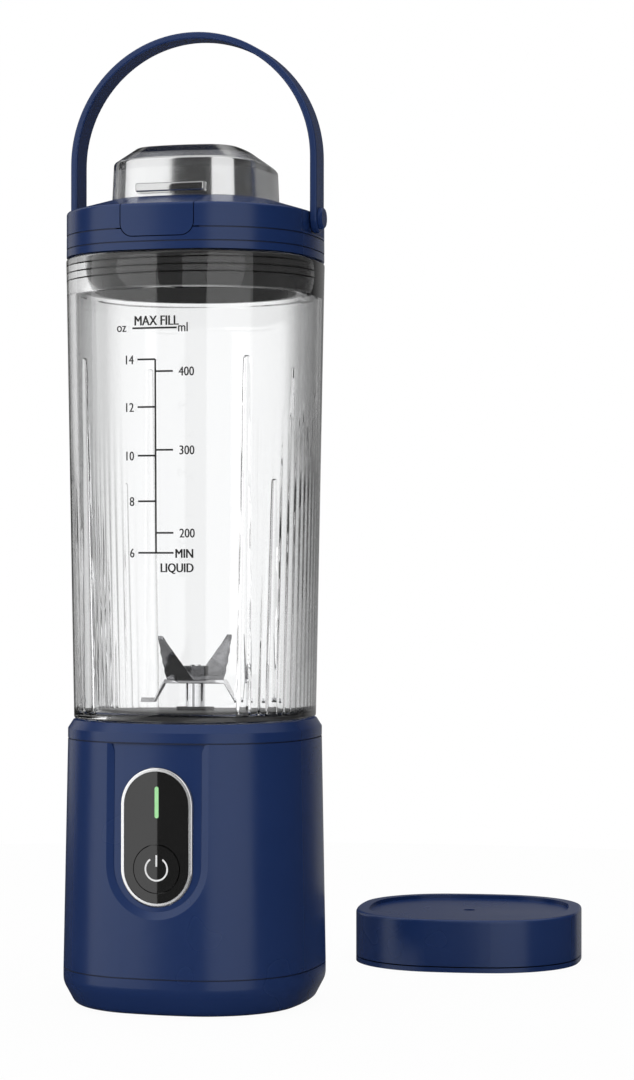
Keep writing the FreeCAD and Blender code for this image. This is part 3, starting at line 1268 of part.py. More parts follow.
def ridges(body, radius, low, count):
    """Rings with sloped flanks around a cylinder, in place of a thread."""
    for index in range(int(size(count))):
        z = f"({low} + {index} * ridge_pitch)"
        sketch = sketch_on(body, "XZ_Plane")
        polygon(sketch, [(f"{radius} - ridge_height", z), (radius, z),
                         (f"{radius} + ridge_height", f"{z} + ridge_thick / 4"),
                         (f"{radius} + ridge_height", f"{z} + 3 * ridge_thick / 4"),
                         (radius, f"{z} + ridge_thick"), (f"{radius} - ridge_height", f"{z} + ridge_thick")])
        revolve(body, sketch)


def jar():
    body = new_body("jar_body")
    foot = sketch_on(body, "XY_Plane", JAR_LOW)
    squircle(foot, "jar_foot_half")
    mouth = sketch_on(body, "XY_Plane", "jar_top")
    squircle(mouth, "jar_top_half")
    loft(body, [foot, mouth])
    neck = sketch_on(body, "XY_Plane", NECK_LOW)
    circle(neck, "neck_radius")
    extrude(body, neck, f"{JAR_LOW} - {NECK_LOW}")
    ridges(body, "neck_radius", f"{NECK_LOW} + neck_ridge_start", "neck_ridges")
    floor = f"({JAR_LOW} + jar_floor)"
    mouth_low = "(jar_top - mouth_depth)"
    low_half = f"({jar_half(floor)} - jar_wall)"
    inner_foot = sketch_on(body, "XY_Plane", floor)
    squircle(inner_foot, low_half)
    inner_top = sketch_on(body, "XY_Plane", mouth_low)
    squircle(inner_top, f"{jar_half(mouth_low)} - jar_wall")
    loft(body, [inner_foot, inner_top], cut=True)
    throat = sketch_on(body, "XY_Plane", mouth_low)
    circle(throat, "mouth_radius")
    extrude(body, throat, "mouth_depth", cut=True)
    bore = sketch_on(body, "XY_Plane", NECK_LOW)
    circle(bore, "neck_bore")
    extrude(body, bore, f"{floor} - {NECK_LOW}", cut=True)
    shift = CORNER_SHIFT.format("corner_ratio")
    ribs = []
    for turn, top in (("45", "rib_top"), ("45 - side_rib_turn", "side_rib_top"),
                      ("45 + side_rib_turn", "side_rib_top")):
        rings = []
        for level, radius in ((floor, "rib_foot_radius"), (top, "rib_top_radius")):
            reach = f"({jar_half(level)} - jar_wall)"
            section = sketch_on(body, "XY_Plane", level)
            circle(section, radius, f"{reach} * ({shift} + corner_ratio * cos({turn}))",
                   f"{reach} * ({shift} + corner_ratio * sin({turn}))")
            rings.append(section)
        ribs.append(loft(body, rings))
    DOC.recompute()
    pattern = body.newObject("PartDesign::PolarPattern", "rib_pattern")
    pattern.Originals = ribs
    upright = [item for item in body.Origin.OriginFeatures if item.Role == "Z_Axis"]
    pattern.Axis = (upright[0], [""])
    pattern.Angle = 360
    pattern.Occurrences = 4
    body.Tip = pattern
    node(body, "jar")


# Lid

def lid_outline(name, low):
    """The lid's outside from a height up: the upright band and the sloped deck."""
    body = new_body(name)
    band = sketch_on(body, "XY_Plane", low)
    squircle(band, "lid_half")
    extrude(body, band, f"band_top - ({low})")
    edge = sketch_on(body, "XY_Plane", "band_top")
    squircle(edge, "lid_half")
    crown = sketch_on(body, "XY_Plane", "dome_top")
    squircle(crown, "dome_half")
    dome = loft(body, [edge, crown])
    DOC.recompute()
    round_edges(body, dome, edges_at_height(dome.Shape, "band_top"), "band_round")
    return body


def latch_plate(name, gap, back):
    """The latch button in front view, larger by a gap, from its back outwards."""
    body = prism(name, "XZ_Plane", back, f"lid_half + base_wall - ({back})",
                 lambda sketch: rectangle(sketch, f"latch_half + {gap}", f"latch_low - {gap}",
                                          "dome_top + latch_corner"))
    DOC.recompute()
    low = size(f"latch_low - {gap}")
    across = size(f"latch_half + {gap}")

    def is_lower_corner(point):
        return abs(point.z - low) < TOLERANCE and abs(abs(point.x) - across) < TOLERANCE

    round_edges(body, body.Tip, edges_where(body.Shape, is_lower_corner), f"latch_corner + {gap}")
    return body


def latch_room(name):
    """The room that the latch button needs over its stroke."""
    plate = latch_plate(f"{name}_plate", "running_gap", "latch_back - latch_travel - running_gap")
    arm = box(f"{name}_arm", ("-latch_half - running_gap", "latch_half + running_gap"),
              ("-lid_half", "latch_travel + running_gap - latch_arm_end"),
              ("latch_arm_low - running_gap", "dome_top + running_gap"))
    return fuse(name, [plate, arm])


def latch_button():
    outline = lid_outline("latch_outline", "latch_low")
    plate = latch_plate("latch_front", "0", "latch_back")
    arm = box("latch_arm", ("-latch_half", "latch_half"), ("-lid_half", "-latch_arm_end"),
              ("latch_arm_low", "dome_top"))
    solid = DOC.addObject("Part::Common", "latch_solid")
    solid.Base = outline
    solid.Tool = fuse("latch_blank", [plate, arm])
    node(solid, "latch_button")


def latch_spring():
    body = new_body("spring")
    wire = sketch_on(body, "XZ_Plane")
    circle(wire, "latch_wire", "latch_spring_radius - latch_wire", "latch_wire")
    coil = body.newObject("PartDesign::AdditiveHelix", "coil")
    coil.Profile = wire
    coil.ReferenceAxis = (wire, ["V_Axis"])
    coil.Mode = "height-turns-angle"
    length = "latch_back - latch_spring_end - 2 * latch_wire - 2 * bearing_gap"
    bind(coil, "Height", length)
    bind(coil, "Turns", "latch_spring_coils")
    body.Placement = Placement(Vector(0, -size("latch_spring_end + bearing_gap"), 0), TURNS["front"])
    bind(body, "Placement.Base.z", "latch_spring_height")
    bind(body, "Placement.Base.y", "-latch_spring_end - bearing_gap")
    node(body, "latch_spring")


def hinge_lug(side, across):
    inner = "(knuckle_half + running_gap)"
    outer = "(knuckle_half + running_gap + lug_thick)"
    ends = (inner, outer) if side == "right" else (f"-{outer}", f"-{inner}")
    barrel = cylinder(f"lug_barrel_{side}", "knuckle_radius", "lug_thick", f"{across}{inner}", "hinge_back",
                      "hinge_height", side)
    foot = box(f"lug_foot_{side}", ends, ("hinge_back - knuckle_radius", "hinge_back + knuckle_radius"),
               ("band_top", "hinge_height"))
    return [barrel, foot]


def lid_top():
    body = lid_outline("lid_crown", LID_TOP_LOW)
    well = sketch_on(body, "XZ_Plane")
    polygon(well, [("lid_well_inner", LID_TOP_LOW), ("lid_well_outer", LID_TOP_LOW),
                   ("lid_well_outer", "lid_well_top"), ("lid_well_inner", "lid_well_top")])
    revolve(body, well, cut=True)
    bore = sketch_on(body, "XY_Plane", LID_TOP_LOW)
    circle(bore, "spout_radius + close_gap")
    extrude(body, bore, f"dome_top - {LID_TOP_LOW}", cut=True)
    lugs = []
    tools = [latch_room("lid_latch_room")]
    for side, across in BOTH_SIDES:
        lugs += hinge_lug(side, across)
        ends = ("facet_half", "handle_outer")
        if side == "left":
            ends = tuple(f"-({end})" for end in reversed(ends))
        tools.append(box(f"facet_{side}", ends, ("-facet_deep", "facet_deep"), ("facet_low", "dome_top")))
        tools.append(cylinder(f"pin_hole_{side}", "pin_radius + press_gap", "lid_half - pin_inner + close_gap",
                              f"{across}(pin_inner - close_gap)", "0", "pivot_height", side))
    tools.append(cylinder("spring_hole", "latch_spring_radius + running_gap", "latch_back - latch_spring_end",
                          "0", "-latch_spring_end", "latch_spring_height", "front"))
    tools.append(cylinder("lug_bore", "hinge_pin_radius + press_gap",
                          "2 * (knuckle_half + running_gap + lug_thick)",
                          "-(knuckle_half + running_gap + lug_thick)", "hinge_back", "hinge_height", "right"))
    node(cut("lid_top_cut", fuse("lid_top_solid", [body] + lugs), tools), "lid_top")


def lid_rings():
    bore = "plug_neck + bearing_gap"
    skirt_low = "ring_seam + seam_gap"
    skirt = squircle_prism("lid_skirt_block", "lid_half", skirt_low, "skirt_seam")
    skirt_bore = cylinder("lid_skirt_bore", bore, f"skirt_seam - ({skirt_low})", z=skirt_low)
    node(cut("lid_skirt_cut", skirt, [skirt_bore, latch_room("skirt_latch_room")]), "lid_skirt")
    low = squircle_prism("lid_ring_block", "lid_half", "ring_low", "ring_seam")
    low_bore = cylinder("lid_ring_bore", bore, "ring_seam - ring_low", z="ring_low")
    groove = ring("gasket_groove", "gasket_inner - close_gap", "gasket_outer + close_gap", "ring_low",
                  "ring_low + gasket_thick")
    node(cut("lid_ring_cut", low, [low_bore, groove]), "lid_lower_ring")
    node(ring("gasket_ring", "gasket_inner", "gasket_outer", "ring_low", "ring_low + gasket_thick"),
         "lid_gasket")


def lid_plug():
    hole = "spout_radius + bearing_gap"
    inside = "plug_radius - plug_wall"
    body = turned("plug", [(hole, PLUG_TOP_LOW), (inside, PLUG_TOP_LOW), (inside, "plug_low"),
                           ("plug_radius", "plug_low"), ("plug_radius", "plug_shoulder"),
                           ("plug_neck", "plug_shoulder"), ("plug_neck", "skirt_seam"), (hole, "skirt_seam")])
    ridges(body, "plug_radius", "plug_ridge_low", "plug_ridges")
    node(body, "lid_plug")


def spout():
    inside = "spout_radius - spout_wall"
    low = f"{PLUG_TOP_LOW} - spout_flange_thick"
    node(turned("spout_tube", [(inside, low), ("spout_flange", low), ("spout_flange", PLUG_TOP_LOW),
                               ("spout_radius", PLUG_TOP_LOW), ("spout_radius", "spout_top"),
                               (inside, "spout_top")]), "spout")


# Flip cap

HOOD_CEILING = "(hood_back_top - hood_wall)"
HOOD_BEND = "(hood_edge - hood_front_top + hood_back_top - hood_wall / 2)"


def hood_section(body, level, half):
    section = sketch_on(body, "XY_Plane", level)
    squircle(section, half, "hood_corner_ratio")
    return section


def slopes_with_top(point):
    """Whether a point lies on the flip cap's sloped top."""
    half = size("hood_low_half")
    front = size("hood_front_top")
    drop = front - size("hood_back_top")
    return abs(point.z - (front - drop * (point.y + half) / (2 * half))) < 10 * TOLERANCE


def hood():
    body = new_body("hood")
    draft = "(hood_low_half - hood_edge_half) / (hood_edge - hood_low)"
    top_half = f"hood_low_half - {draft} * (hood_front_top - hood_low)"
    loft(body, [hood_section(body, "hood_low", "hood_low_half"),
                hood_section(body, "hood_front_top", top_half)])
    above = sketch_on(body, "YZ_Plane", "-hood_low_half")
    clear = "hood_front_top + hood_wall"
    polygon(above, [("-hood_low_half", "hood_front_top"), ("hood_low_half", "hood_back_top"),
                    ("hood_low_half", clear), ("-hood_low_half", clear)])
    sloped = extrude(body, above, "2 * hood_low_half", cut=True)
    DOC.recompute()
    bevel = body.newObject("PartDesign::Chamfer", "hood_slope")
    bevel.Base = (sloped, edges_where(sloped.Shape, slopes_with_top))
    bevel.ChamferType = "Two distances"
    bind(bevel, "Size", "hood_front_top - hood_edge")
    bind(bevel, "Size2", "hood_bevel")
    DOC.recompute()
    lowest = size("hood_edge - hood_bevel / 2")

    def runs_around(edge):
        return edge.BoundBox.ZMin > lowest and edge.BoundBox.ZLength < size("hood_bevel") / 2

    around = [f"Edge{index}" for index, edge in enumerate(bevel.Shape.Edges, start=1) if runs_around(edge)]
    round_edges(body, bevel, around, "hood_round")
    loft(body, [hood_section(body, "hood_low", "hood_low_half - hood_wall"),
                hood_section(body, HOOD_BEND, "hood_edge_half - hood_wall")], cut=True)
    loft(body, [hood_section(body, HOOD_BEND, "hood_edge_half - hood_wall"),
                hood_section(body, HOOD_CEILING,
                             f"hood_edge_half - hood_wall - ({HOOD_CEILING} - {HOOD_BEND})")], cut=True)
    lip = DOC.addObject("Part::Common", "hood_lip")
    lip.Base = squircle_prism("lip_outline", "hood_lip_front", "hood_lip_low", "hood_lip_top")
    lip.Tool = box("lip_width", ("-hood_lip_half", "hood_lip_half"),
                   ("-hood_lip_front", "hood_wall - hood_edge_half"), ("hood_lip_low", "hood_lip_top"))
    knuckle = cylinder("hood_knuckle", "knuckle_radius", "2 * knuckle_half", "-knuckle_half", "hinge_back",
                       "hinge_height", "right")
    web = box("hood_web", ("-knuckle_half", "knuckle_half"), ("hood_edge_half - hood_wall", "hinge_back"),
              ("hinge_height - knuckle_radius + close_gap", "hinge_height + knuckle_radius - close_gap"))
    pin_bore = cylinder("hood_bore", "hinge_pin_radius + bearing_gap", "2 * knuckle_half", "-knuckle_half",
                        "hinge_back", "hinge_height", "right")
    node(cut("hood_cut", fuse("hood_solid", [body, lip, knuckle, web]), [pin_bore]), "flip_cap")


def stopper():
    tip = "spout_top - stopper_depth"
    seat = "spout_top + running_gap"
    top = f"{seat} + stopper_flange_thick"
    node(turned("stopper", [("0", tip), ("stopper_radius - stopper_taper", tip), ("stopper_radius", seat),
                            ("stopper_flange", seat), ("stopper_flange", top), ("stopper_stem", top),
                            ("stopper_stem", HOOD_CEILING), ("0", HOOD_CEILING)]), "spout_stopper")


def hinge_pin():
    reach = "(knuckle_half + running_gap + lug_thick)"
    node(cylinder("hinge_rod", "hinge_pin_radius", f"2 * {reach}", f"-{reach}", "hinge_back", "hinge_height",
                  "right"), "flip_hinge_pin")


# Carrying handle

def handle():
    inner = "(handle_outer - handle_thick)"
    deep = "2 * handle_deep"
    rim = cylinder("bow_outer", "handle_outer", deep, "0", "handle_deep", "bow_height", "front")
    hollow = cylinder("bow_inner", inner, deep, "0", "handle_deep", "bow_height", "front")
    below = box("bow_below", ("-handle_outer", "handle_outer"), ("-handle_deep", "handle_deep"),
                ("bow_height - handle_outer", "bow_height"))
    pieces = [cut("bow", rim, [hollow, below])]
    holes = []
    for side, across in BOTH_SIDES:
        ends = (inner, "handle_outer") if side == "right" else ("-handle_outer", f"-{inner}")
        pieces.append(box(f"leg_{side}", ends, ("-handle_deep", "handle_deep"), ("pivot_height", "bow_height")))
        pieces.append(cylinder(f"leg_end_{side}", "handle_deep", "handle_thick", f"{across}{inner}", "0",
                               "pivot_height", side))
        holes.append(cylinder(f"leg_eye_{side}", "pin_radius + bearing_gap", "handle_thick",
                              f"{across}{inner}", "0", "pivot_height", side))
    solid = fuse("handle_solid", pieces)
    DOC.recompute()
    deep_side = size("handle_deep")
    pivot = size("pivot_height")

    def is_long_edge(point):
        return abs(abs(point.y) - deep_side) < TOLERANCE and point.z > pivot - TOLERANCE

    rounded = DOC.addObject("Part::Fillet", "handle_rounded")
    rounded.Base = solid
    radius = size("handle_round")
    names = edges_where(solid.Shape, is_long_edge)
    rounded.Edges = [(int(name[len("Edge"):]), radius, radius) for name in names]
    node(cut("handle_cut", rounded, holes), "carry_handle")


def handle_pins():
    head = "(handle_outer + close_gap)"
    outer = f"({head} + pin_head_thick)"
    pins = []
    for side, _ in BOTH_SIDES:
        pin = turned(f"pin_{side}", [("0", "pin_inner"), ("pin_radius", "pin_inner"), ("pin_radius", head),
                                     ("pin_head", head), ("pin_head", f"{outer} - pin_head_round"),
                                     ("pin_head - pin_head_round", outer), ("0", outer)])
        pin.Placement = Placement(Vector(), TURNS[side])
        bind(pin, "Placement.Base.z", "pivot_height")
        pins.append(pin)
    node(group("pin_pair", pins), "handle_pins")


# Travel cap, drawn about its own axis and set beside the blender

def set_apart(item, label):
    bind(item, "Placement.Base.x", "travel_x")
    bind(item, "Placement.Base.y", "travel_y")
    bind(item, "Placement.Rotation.Angle", "travel_turn")
    node(item, label)


def travel_cap():
    body = new_body("cap_shell")
    low = "travel_seam + seam_gap"
    outline = sketch_on(body, "XY_Plane", low)
    squircle(outline, "travel_half")
    block = extrude(body, outline, f"travel_tall - ({low})")
    DOC.recompute()
    round_edges(body, block, edges_at_height(block.Shape, "travel_tall"), "travel_round")
    sunk = sketch_on(body, "XY_Plane", "travel_tall - travel_sunk")
    squircle(sunk, "travel_half - travel_rim")
    extrude(body, sunk, "travel_sunk", cut=True)
    dimple = sketch_on(body, "XY_Plane", "travel_tall - travel_sunk - travel_dimple_deep")
    circle(dimple, "travel_dimple")
    extrude(body, dimple, "travel_dimple_deep", cut=True)
    inside = sketch_on(body, "XY_Plane", low)
    squircle(inside, "travel_half - travel_wall")
    extrude(body, inside, f"{CAP_LIFT} - ({low})", cut=True)
    set_apart(body, "travel_cap_shell")
    plate = squircle_prism("cap_ring_block", "travel_half", "0", "travel_seam")
    bore = cylinder("cap_ring_bore", THREAD_BORE, "travel_seam")
    set_apart(cut("cap_ring", plate, [bore]), "travel_cap_ring")
    ceiling = f"{CAP_LIFT} - liner_top_thick"
    wall = f"{THREAD_BORE} + liner_wall"
    set_apart(turned("cap_liner", [(THREAD_BORE, "travel_seam"), (wall, "travel_seam"), (wall, CAP_LIFT),
                                   ("0", CAP_LIFT), ("0", ceiling), (THREAD_BORE, ceiling)]),
              "travel_cap_liner")
    set_apart(ring("cap_seal", "jar_seal_inner", "jar_seal_outer", f"{ceiling} - travel_seal_thick", ceiling),
              "travel_cap_seal")


def main():
    fill_sheet()
    foot_pad()
    bottom_cover()
    case_screws()
    housing()
    port_cover()
    collar()
    deck()
    small_screws("deck_screws", DECK_SCREWS, "deck_screw_length", f"{FLANGE_LOW} - small_head_thick")
    jar_seal()
    bezel()
    panel()
    power_button()
    indicator()
    control_board()
    tact_switch()
    usb_socket()
    charge_board()
    battery()
    motor()
    motor_mount()
    small_screws("motor_screws", [("motor_screw_x", "0"), ("-motor_screw_x", "0")], "motor_screw_length",
                 f"{MOUNT_TOP} + small_head_thick", "down")
    small_screws("mount_screws", [("mount_post_x", "0"), ("-mount_post_x", "0")], "mount_screw_length",
                 "motor_high - small_head_thick")
    rotor()
    upper_blade()
    lower_blade()
    blade_nut()
    shaft_fittings()
    jar()
    latch_button()
    latch_spring()
    lid_top()
    lid_rings()
    lid_plug()
    spout()
    hood()
    stopper()
    hinge_pin()
    handle()
    handle_pins()
    travel_cap()
    DOC.recompute()
    check_model()
    write_parts()


def check_model():
    """Stop before anything is written if a step failed or a piece isn't a sound solid."""
    faults = [f"{item.Name}: {state}" for item in DOC.Objects for state in item.State
              if state in ("Invalid", "Error")]
    for item in NODES:
        if item.Shape.isNull() or not item.Shape.isValid() or not item.Shape.Solids:
            faults.append(f"{item.Label}: no sound solid")
    if faults:
        raise RuntimeError("\n".join(faults))


def write_parts():
    os.makedirs("parts", exist_ok=True)
    for item in NODES:
        item.Shape.exportStep(f"parts/{item.Label}.step")
        print(f"{item.Label}: {len(item.Shape.Solids)} solids, {item.Shape.Volume:.1f} mm3")


main()
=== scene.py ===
import math

import bmesh
import bpy
from bpy.props import FloatProperty, FloatVectorProperty, IntProperty, PointerProperty
from mathutils import Matrix, Quaternion, Vector


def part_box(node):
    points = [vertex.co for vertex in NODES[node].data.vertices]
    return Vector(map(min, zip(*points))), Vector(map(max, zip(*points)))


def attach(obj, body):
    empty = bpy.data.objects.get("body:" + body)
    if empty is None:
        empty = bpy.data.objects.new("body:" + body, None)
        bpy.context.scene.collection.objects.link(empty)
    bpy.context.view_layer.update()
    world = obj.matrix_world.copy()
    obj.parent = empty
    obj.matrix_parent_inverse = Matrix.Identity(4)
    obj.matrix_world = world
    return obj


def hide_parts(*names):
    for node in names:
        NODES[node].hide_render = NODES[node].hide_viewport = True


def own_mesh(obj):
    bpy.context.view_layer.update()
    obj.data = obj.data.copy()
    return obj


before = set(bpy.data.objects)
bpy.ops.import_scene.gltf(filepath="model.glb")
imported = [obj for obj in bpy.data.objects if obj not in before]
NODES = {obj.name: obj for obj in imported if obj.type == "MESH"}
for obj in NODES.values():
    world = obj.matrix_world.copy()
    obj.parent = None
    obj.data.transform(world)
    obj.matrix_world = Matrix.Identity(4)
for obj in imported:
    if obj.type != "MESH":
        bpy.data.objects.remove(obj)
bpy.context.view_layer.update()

bl_info = {
    "name": "Personal blender",
    "version": (1, 0, 0),
    "blender": (4, 5, 0),
    "location": "View3D > Sidebar > Blender",
    "description": "Dresses the frame of a cordless personal blender and sets its stage",
    "category": "Object",
}

MM = 0.001


# Outlines: the bowed square that base, jar and lid share, with its sides' and corners' radii per half width

SIDE_RATIO = 2.57
CORNER_RATIO = 0.79


def squircle_reach(angle, half):
    """Distance from the axis to the bowed square's outline at an angle."""
    back = SIDE_RATIO - 1
    shift = corner_shift()
    quarter = math.pi / 2
    local = (angle + quarter / 2) % quarter - quarter / 2
    sine, cosine = math.sin(local), math.cos(local)
    reach = math.sqrt(SIDE_RATIO ** 2 - (back * sine) ** 2) - back * cosine
    if abs(math.atan2(reach * sine, reach * cosine + back)) > math.atan2(shift, shift + back):
        along = shift * (cosine + abs(sine))
        reach = along + math.sqrt(along ** 2 - 2 * shift ** 2 + CORNER_RATIO ** 2)
    return half * reach


def corner_shift():
    """Where a corner's centre stands, across and in depth alike, per half width."""
    back = SIDE_RATIO - 1
    return (math.sqrt(2 * (SIDE_RATIO - CORNER_RATIO) ** 2 - back ** 2) - back) / 2


# Meshes

def put_ring(verts, reach, height):
    """Put a ring's vertices where a reach says, in millimetres from the axis, at a height."""
    for vert in verts:
        angle = math.atan2(vert.co.y, vert.co.x)
        along = reach(angle)
        vert.co = Vector((along * math.cos(angle), along * math.sin(angle), height)) * MM


def skin(bm, rings, segments):
    """A closed skin through rings around the axis: each is a reach by angle, and a height."""
    verts = bmesh.ops.create_circle(bm, segments=segments, radius=1)["verts"]
    edges = list(bm.edges)
    put_ring(verts, *rings[0])
    first = edges
    for ring in rings[1:]:
        made = bmesh.ops.extrude_edge_only(bm, edges=edges)["geom"]
        verts = {item for item in made if isinstance(item, bmesh.types.BMVert)}
        edges = [item for item in made
                 if isinstance(item, bmesh.types.BMEdge) and verts.issuperset(item.verts)]
        put_ring(verts, *ring)
    bmesh.ops.bridge_loops(bm, edges=first + edges)
    bmesh.ops.recalc_face_normals(bm, faces=bm.faces)


def chain(bm, points):
    """A wire through points, given in millimetres."""
    verts = [bm.verts.new(Vector(point) * MM) for point in points]
    edges = [bm.edges.new(pair) for pair in zip(verts, verts[1:] + verts[:1])]
    return verts + edges


def spun(bm, profile, steps):
    """A closed profile of radius and height turned around the axis."""
    around = chain(bm, [(radius, 0, height) for radius, height in profile])
    bmesh.ops.spin(bm, geom=around, cent=(0, 0, 0), axis=(0, 0, 1), dvec=(0, 0, 0),
                   angle=2 * math.pi, steps=steps, use_merge=True)
    bmesh.ops.recalc_face_normals(bm, faces=bm.faces)


def break_edges(bm, width, least=30):
    """Bevel every edge that turns more sharply than an angle."""
    sharp = [edge for edge in bm.edges if edge.is_manifold and edge.calc_face_angle() > math.radians(least)]
    bmesh.ops.bevel(bm, geom=sharp, offset=width * MM, offset_type="OFFSET", segments=2, profile=0.5,
                    affect="EDGES", material=-1)


def absorb(bm, other):
    """Move another shape into this one."""
    mesh = bpy.data.meshes.new("shape")
    other.to_mesh(mesh)
    other.free()
    bm.from_mesh(mesh)
    bpy.data.meshes.remove(mesh)


def finished(name, bm, material, body, replaced=(), sharp=40):
    """Turn a shape into a finished piece that rides on a body."""
    mesh = bpy.data.meshes.new(name)
    bm.to_mesh(mesh)
    bm.free()
    return adopt(name, mesh, material, body, replaced, sharp)


def adopt(name, mesh, material, body, replaced=(), sharp=40):
    """Turn a mesh into a piece that rides on a body, with the edges above an angle left sharp."""
    mesh.materials.clear()
    mesh.materials.append(material)
    mesh.shade_smooth()
    mesh.set_sharp_from_angle(angle=math.radians(sharp))
    piece = bpy.data.objects.new(name, mesh)
    bpy.context.scene.collection.objects.link(piece)
    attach(piece, body)
    if replaced:
        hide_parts(*replaced)
    return piece


# Materials: the noise's usual range, how far it takes colour and gloss, and the slow noises' grains per metre

NOISE_MIDDLE = (0.3, 0.7)
SHADE_SPREAD = 0.06
GLOSS_SPREAD = 0.07
SLOW_GRAIN = 35.0
WAVE_GRAIN = 40.0


def new_material(name):
    """A material, its node tree and its shader."""
    material = bpy.data.materials.new(name)
    material.use_nodes = True
    tree = material.node_tree
    return material, tree, tree.nodes["Principled BSDF"]


def add(tree, kind, **settings):
    """Add a node with its settings."""
    node = tree.nodes.new(kind)
    for name, value in settings.items():
        setattr(node, name, value)
    return node


def noise(tree, scale, detail=3.0, stretch=(1, 1, 1)):
    """Noise on the piece's own coordinates; scale is in grains per metre."""
    place = add(tree, "ShaderNodeTexCoord")
    mapping = add(tree, "ShaderNodeMapping")
    mapping.inputs["Scale"].default_value = stretch
    grain = add(tree, "ShaderNodeTexNoise")
    grain.inputs["Scale"].default_value = scale
    grain.inputs["Detail"].default_value = detail
    tree.links.new(place.outputs["Object"], mapping.inputs["Vector"])
    tree.links.new(mapping.outputs["Vector"], grain.inputs["Vector"])
    return grain.outputs["Fac"]


def ranged(tree, source, sources, results):
    """Map a range of a value to a range of results."""
    ramp = add(tree, "ShaderNodeMapRange")
    ramp.inputs["From Min"].default_value, ramp.inputs["From Max"].default_value = sources
    ramp.inputs["To Min"].default_value, ramp.inputs["To Max"].default_value = results
    tree.links.new(source, ramp.inputs["Value"])
    return ramp.outputs["Result"]


def combined(tree, operation, first, second):
    """Two values put together by an operation."""
    node = add(tree, "ShaderNodeMath", operation=operation)
    tree.links.new(first, node.inputs[0])
    tree.links.new(second, node.inputs[1])
    return node.outputs["Value"]


def blend_colours(tree, factor, first, second):
    """A colour between two, by a factor."""
    mix = add(tree, "ShaderNodeMix", data_type="RGBA")
    tree.links.new(factor, mix.inputs["Factor"])
    mix.inputs["A"].default_value = (*first, 1)
    mix.inputs["B"].default_value = (*second, 1)
    return mix.outputs["Result"]


def relief(tree, shader, source, strength, depth):
    """Let a noise raise the surface, by a depth in millimetres."""
    bump = add(tree, "ShaderNodeBump")
    bump.inputs["Strength"].default_value = strength
    bump.inputs["Distance"].default_value = depth * MM
    tree.links.new(source, bump.inputs["Height"])
    tree.links.new(bump.outputs["Normal"], shader.inputs["Normal"])


def layered(tree, factor, first, second):
    """Make the surface a mix of two shaders."""
    mix = add(tree, "ShaderNodeMixShader")
    tree.links.new(factor, mix.inputs["Fac"])
    tree.links.new(first.outputs[0], mix.inputs[1])
    tree.links.new(second.outputs[0], mix.inputs[2])
    tree.links.new(mix.outputs["Shader"], tree.nodes["Material Output"].inputs["Surface"])


def grained(name, colour, roughness, grain=2500.0, depth=0.01, stretch=(1, 1, 1), **sockets):
    """A moulded or rolled surface: fine grain in its relief, slow variation in its colour and gloss. Further
    sockets of the shader are set by their names."""
    material, tree, shader = new_material(name)
    for socket, value in sockets.items():
        shader.inputs[socket].default_value = value
    slow = noise(tree, SLOW_GRAIN, 2.0, stretch)
    fine = noise(tree, grain, 2.0, stretch)
    darker = tuple(part * (1 - SHADE_SPREAD) for part in colour)
    lighter = tuple(min(part * (1 + SHADE_SPREAD), 1) for part in colour)
    tree.links.new(blend_colours(tree, slow, darker, lighter), shader.inputs["Base Color"])
    gloss = (roughness * (1 - GLOSS_SPREAD), roughness * (1 + GLOSS_SPREAD))
    tree.links.new(ranged(tree, slow, NOISE_MIDDLE, gloss), shader.inputs["Roughness"])
    relief(tree, shader, fine, 0.25, depth)
    return material


def clear(name, tints, roughness, ior, wave, silver=None):
    """Clear plastic: its tint changes, from the first to the last, where a wall is seen along its length.
    A silvery one is metallic by one share where it is seen squarely, and by another along its length."""
    material, tree, shader = new_material(name)
    shader.inputs["Transmission Weight"].default_value = 1
    shader.inputs["IOR"].default_value = ior
    weight = add(tree, "ShaderNodeLayerWeight")
    weight.inputs["Blend"].default_value = 0.5
    ramp = add(tree, "ShaderNodeValToRGB")
    stops = ramp.color_ramp.elements
    stops[0].position, stops[1].position = tints[0][0], tints[-1][0]
    for place, _ in tints[1:-1]:
        stops.new(place)
    for stop, (_, tint) in zip(stops, tints):
        stop.color = (tint, tint * 1.004, tint * 1.006, 1)
    tree.links.new(weight.outputs["Facing"], ramp.inputs["Fac"])
    tree.links.new(ramp.outputs["Color"], shader.inputs["Base Color"])
    if silver:
        sheen = ranged(tree, weight.outputs["Facing"], (0.2, 0.55), silver)
        tree.links.new(sheen, shader.inputs["Metallic"])
    slow = noise(tree, WAVE_GRAIN, 2.0)
    tree.links.new(ranged(tree, slow, NOISE_MIDDLE, (roughness, roughness * 1.2)), shader.inputs["Roughness"])
    relief(tree, shader, slow, 0.15, wave)
    path = add(tree, "ShaderNodeLightPath")
    through = add(tree, "ShaderNodeBsdfTransparent")
    through.inputs["Color"].default_value = (*[tints[0][1]] * 3, 1)
    layered(tree, path.outputs["Is Shadow Ray"], shader, through)
    return material


def dress(material, *names):
    """Give solid nodes a material."""
    for name in names:
        mesh = NODES[name].data
        mesh.materials.clear()
        mesh.materials.append(material)


# Settings

class ShellLook(bpy.types.PropertyGroup):
    colour: FloatVectorProperty(name="Navy", description="Colour of the base, lid and handle",
                                subtype="COLOR", size=3, min=0, max=1, default=(0.0095, 0.027, 0.105))
    roughness: FloatProperty(name="Roughness", description="Gloss of the moulded shells", default=0.26,
                             min=0, max=1)


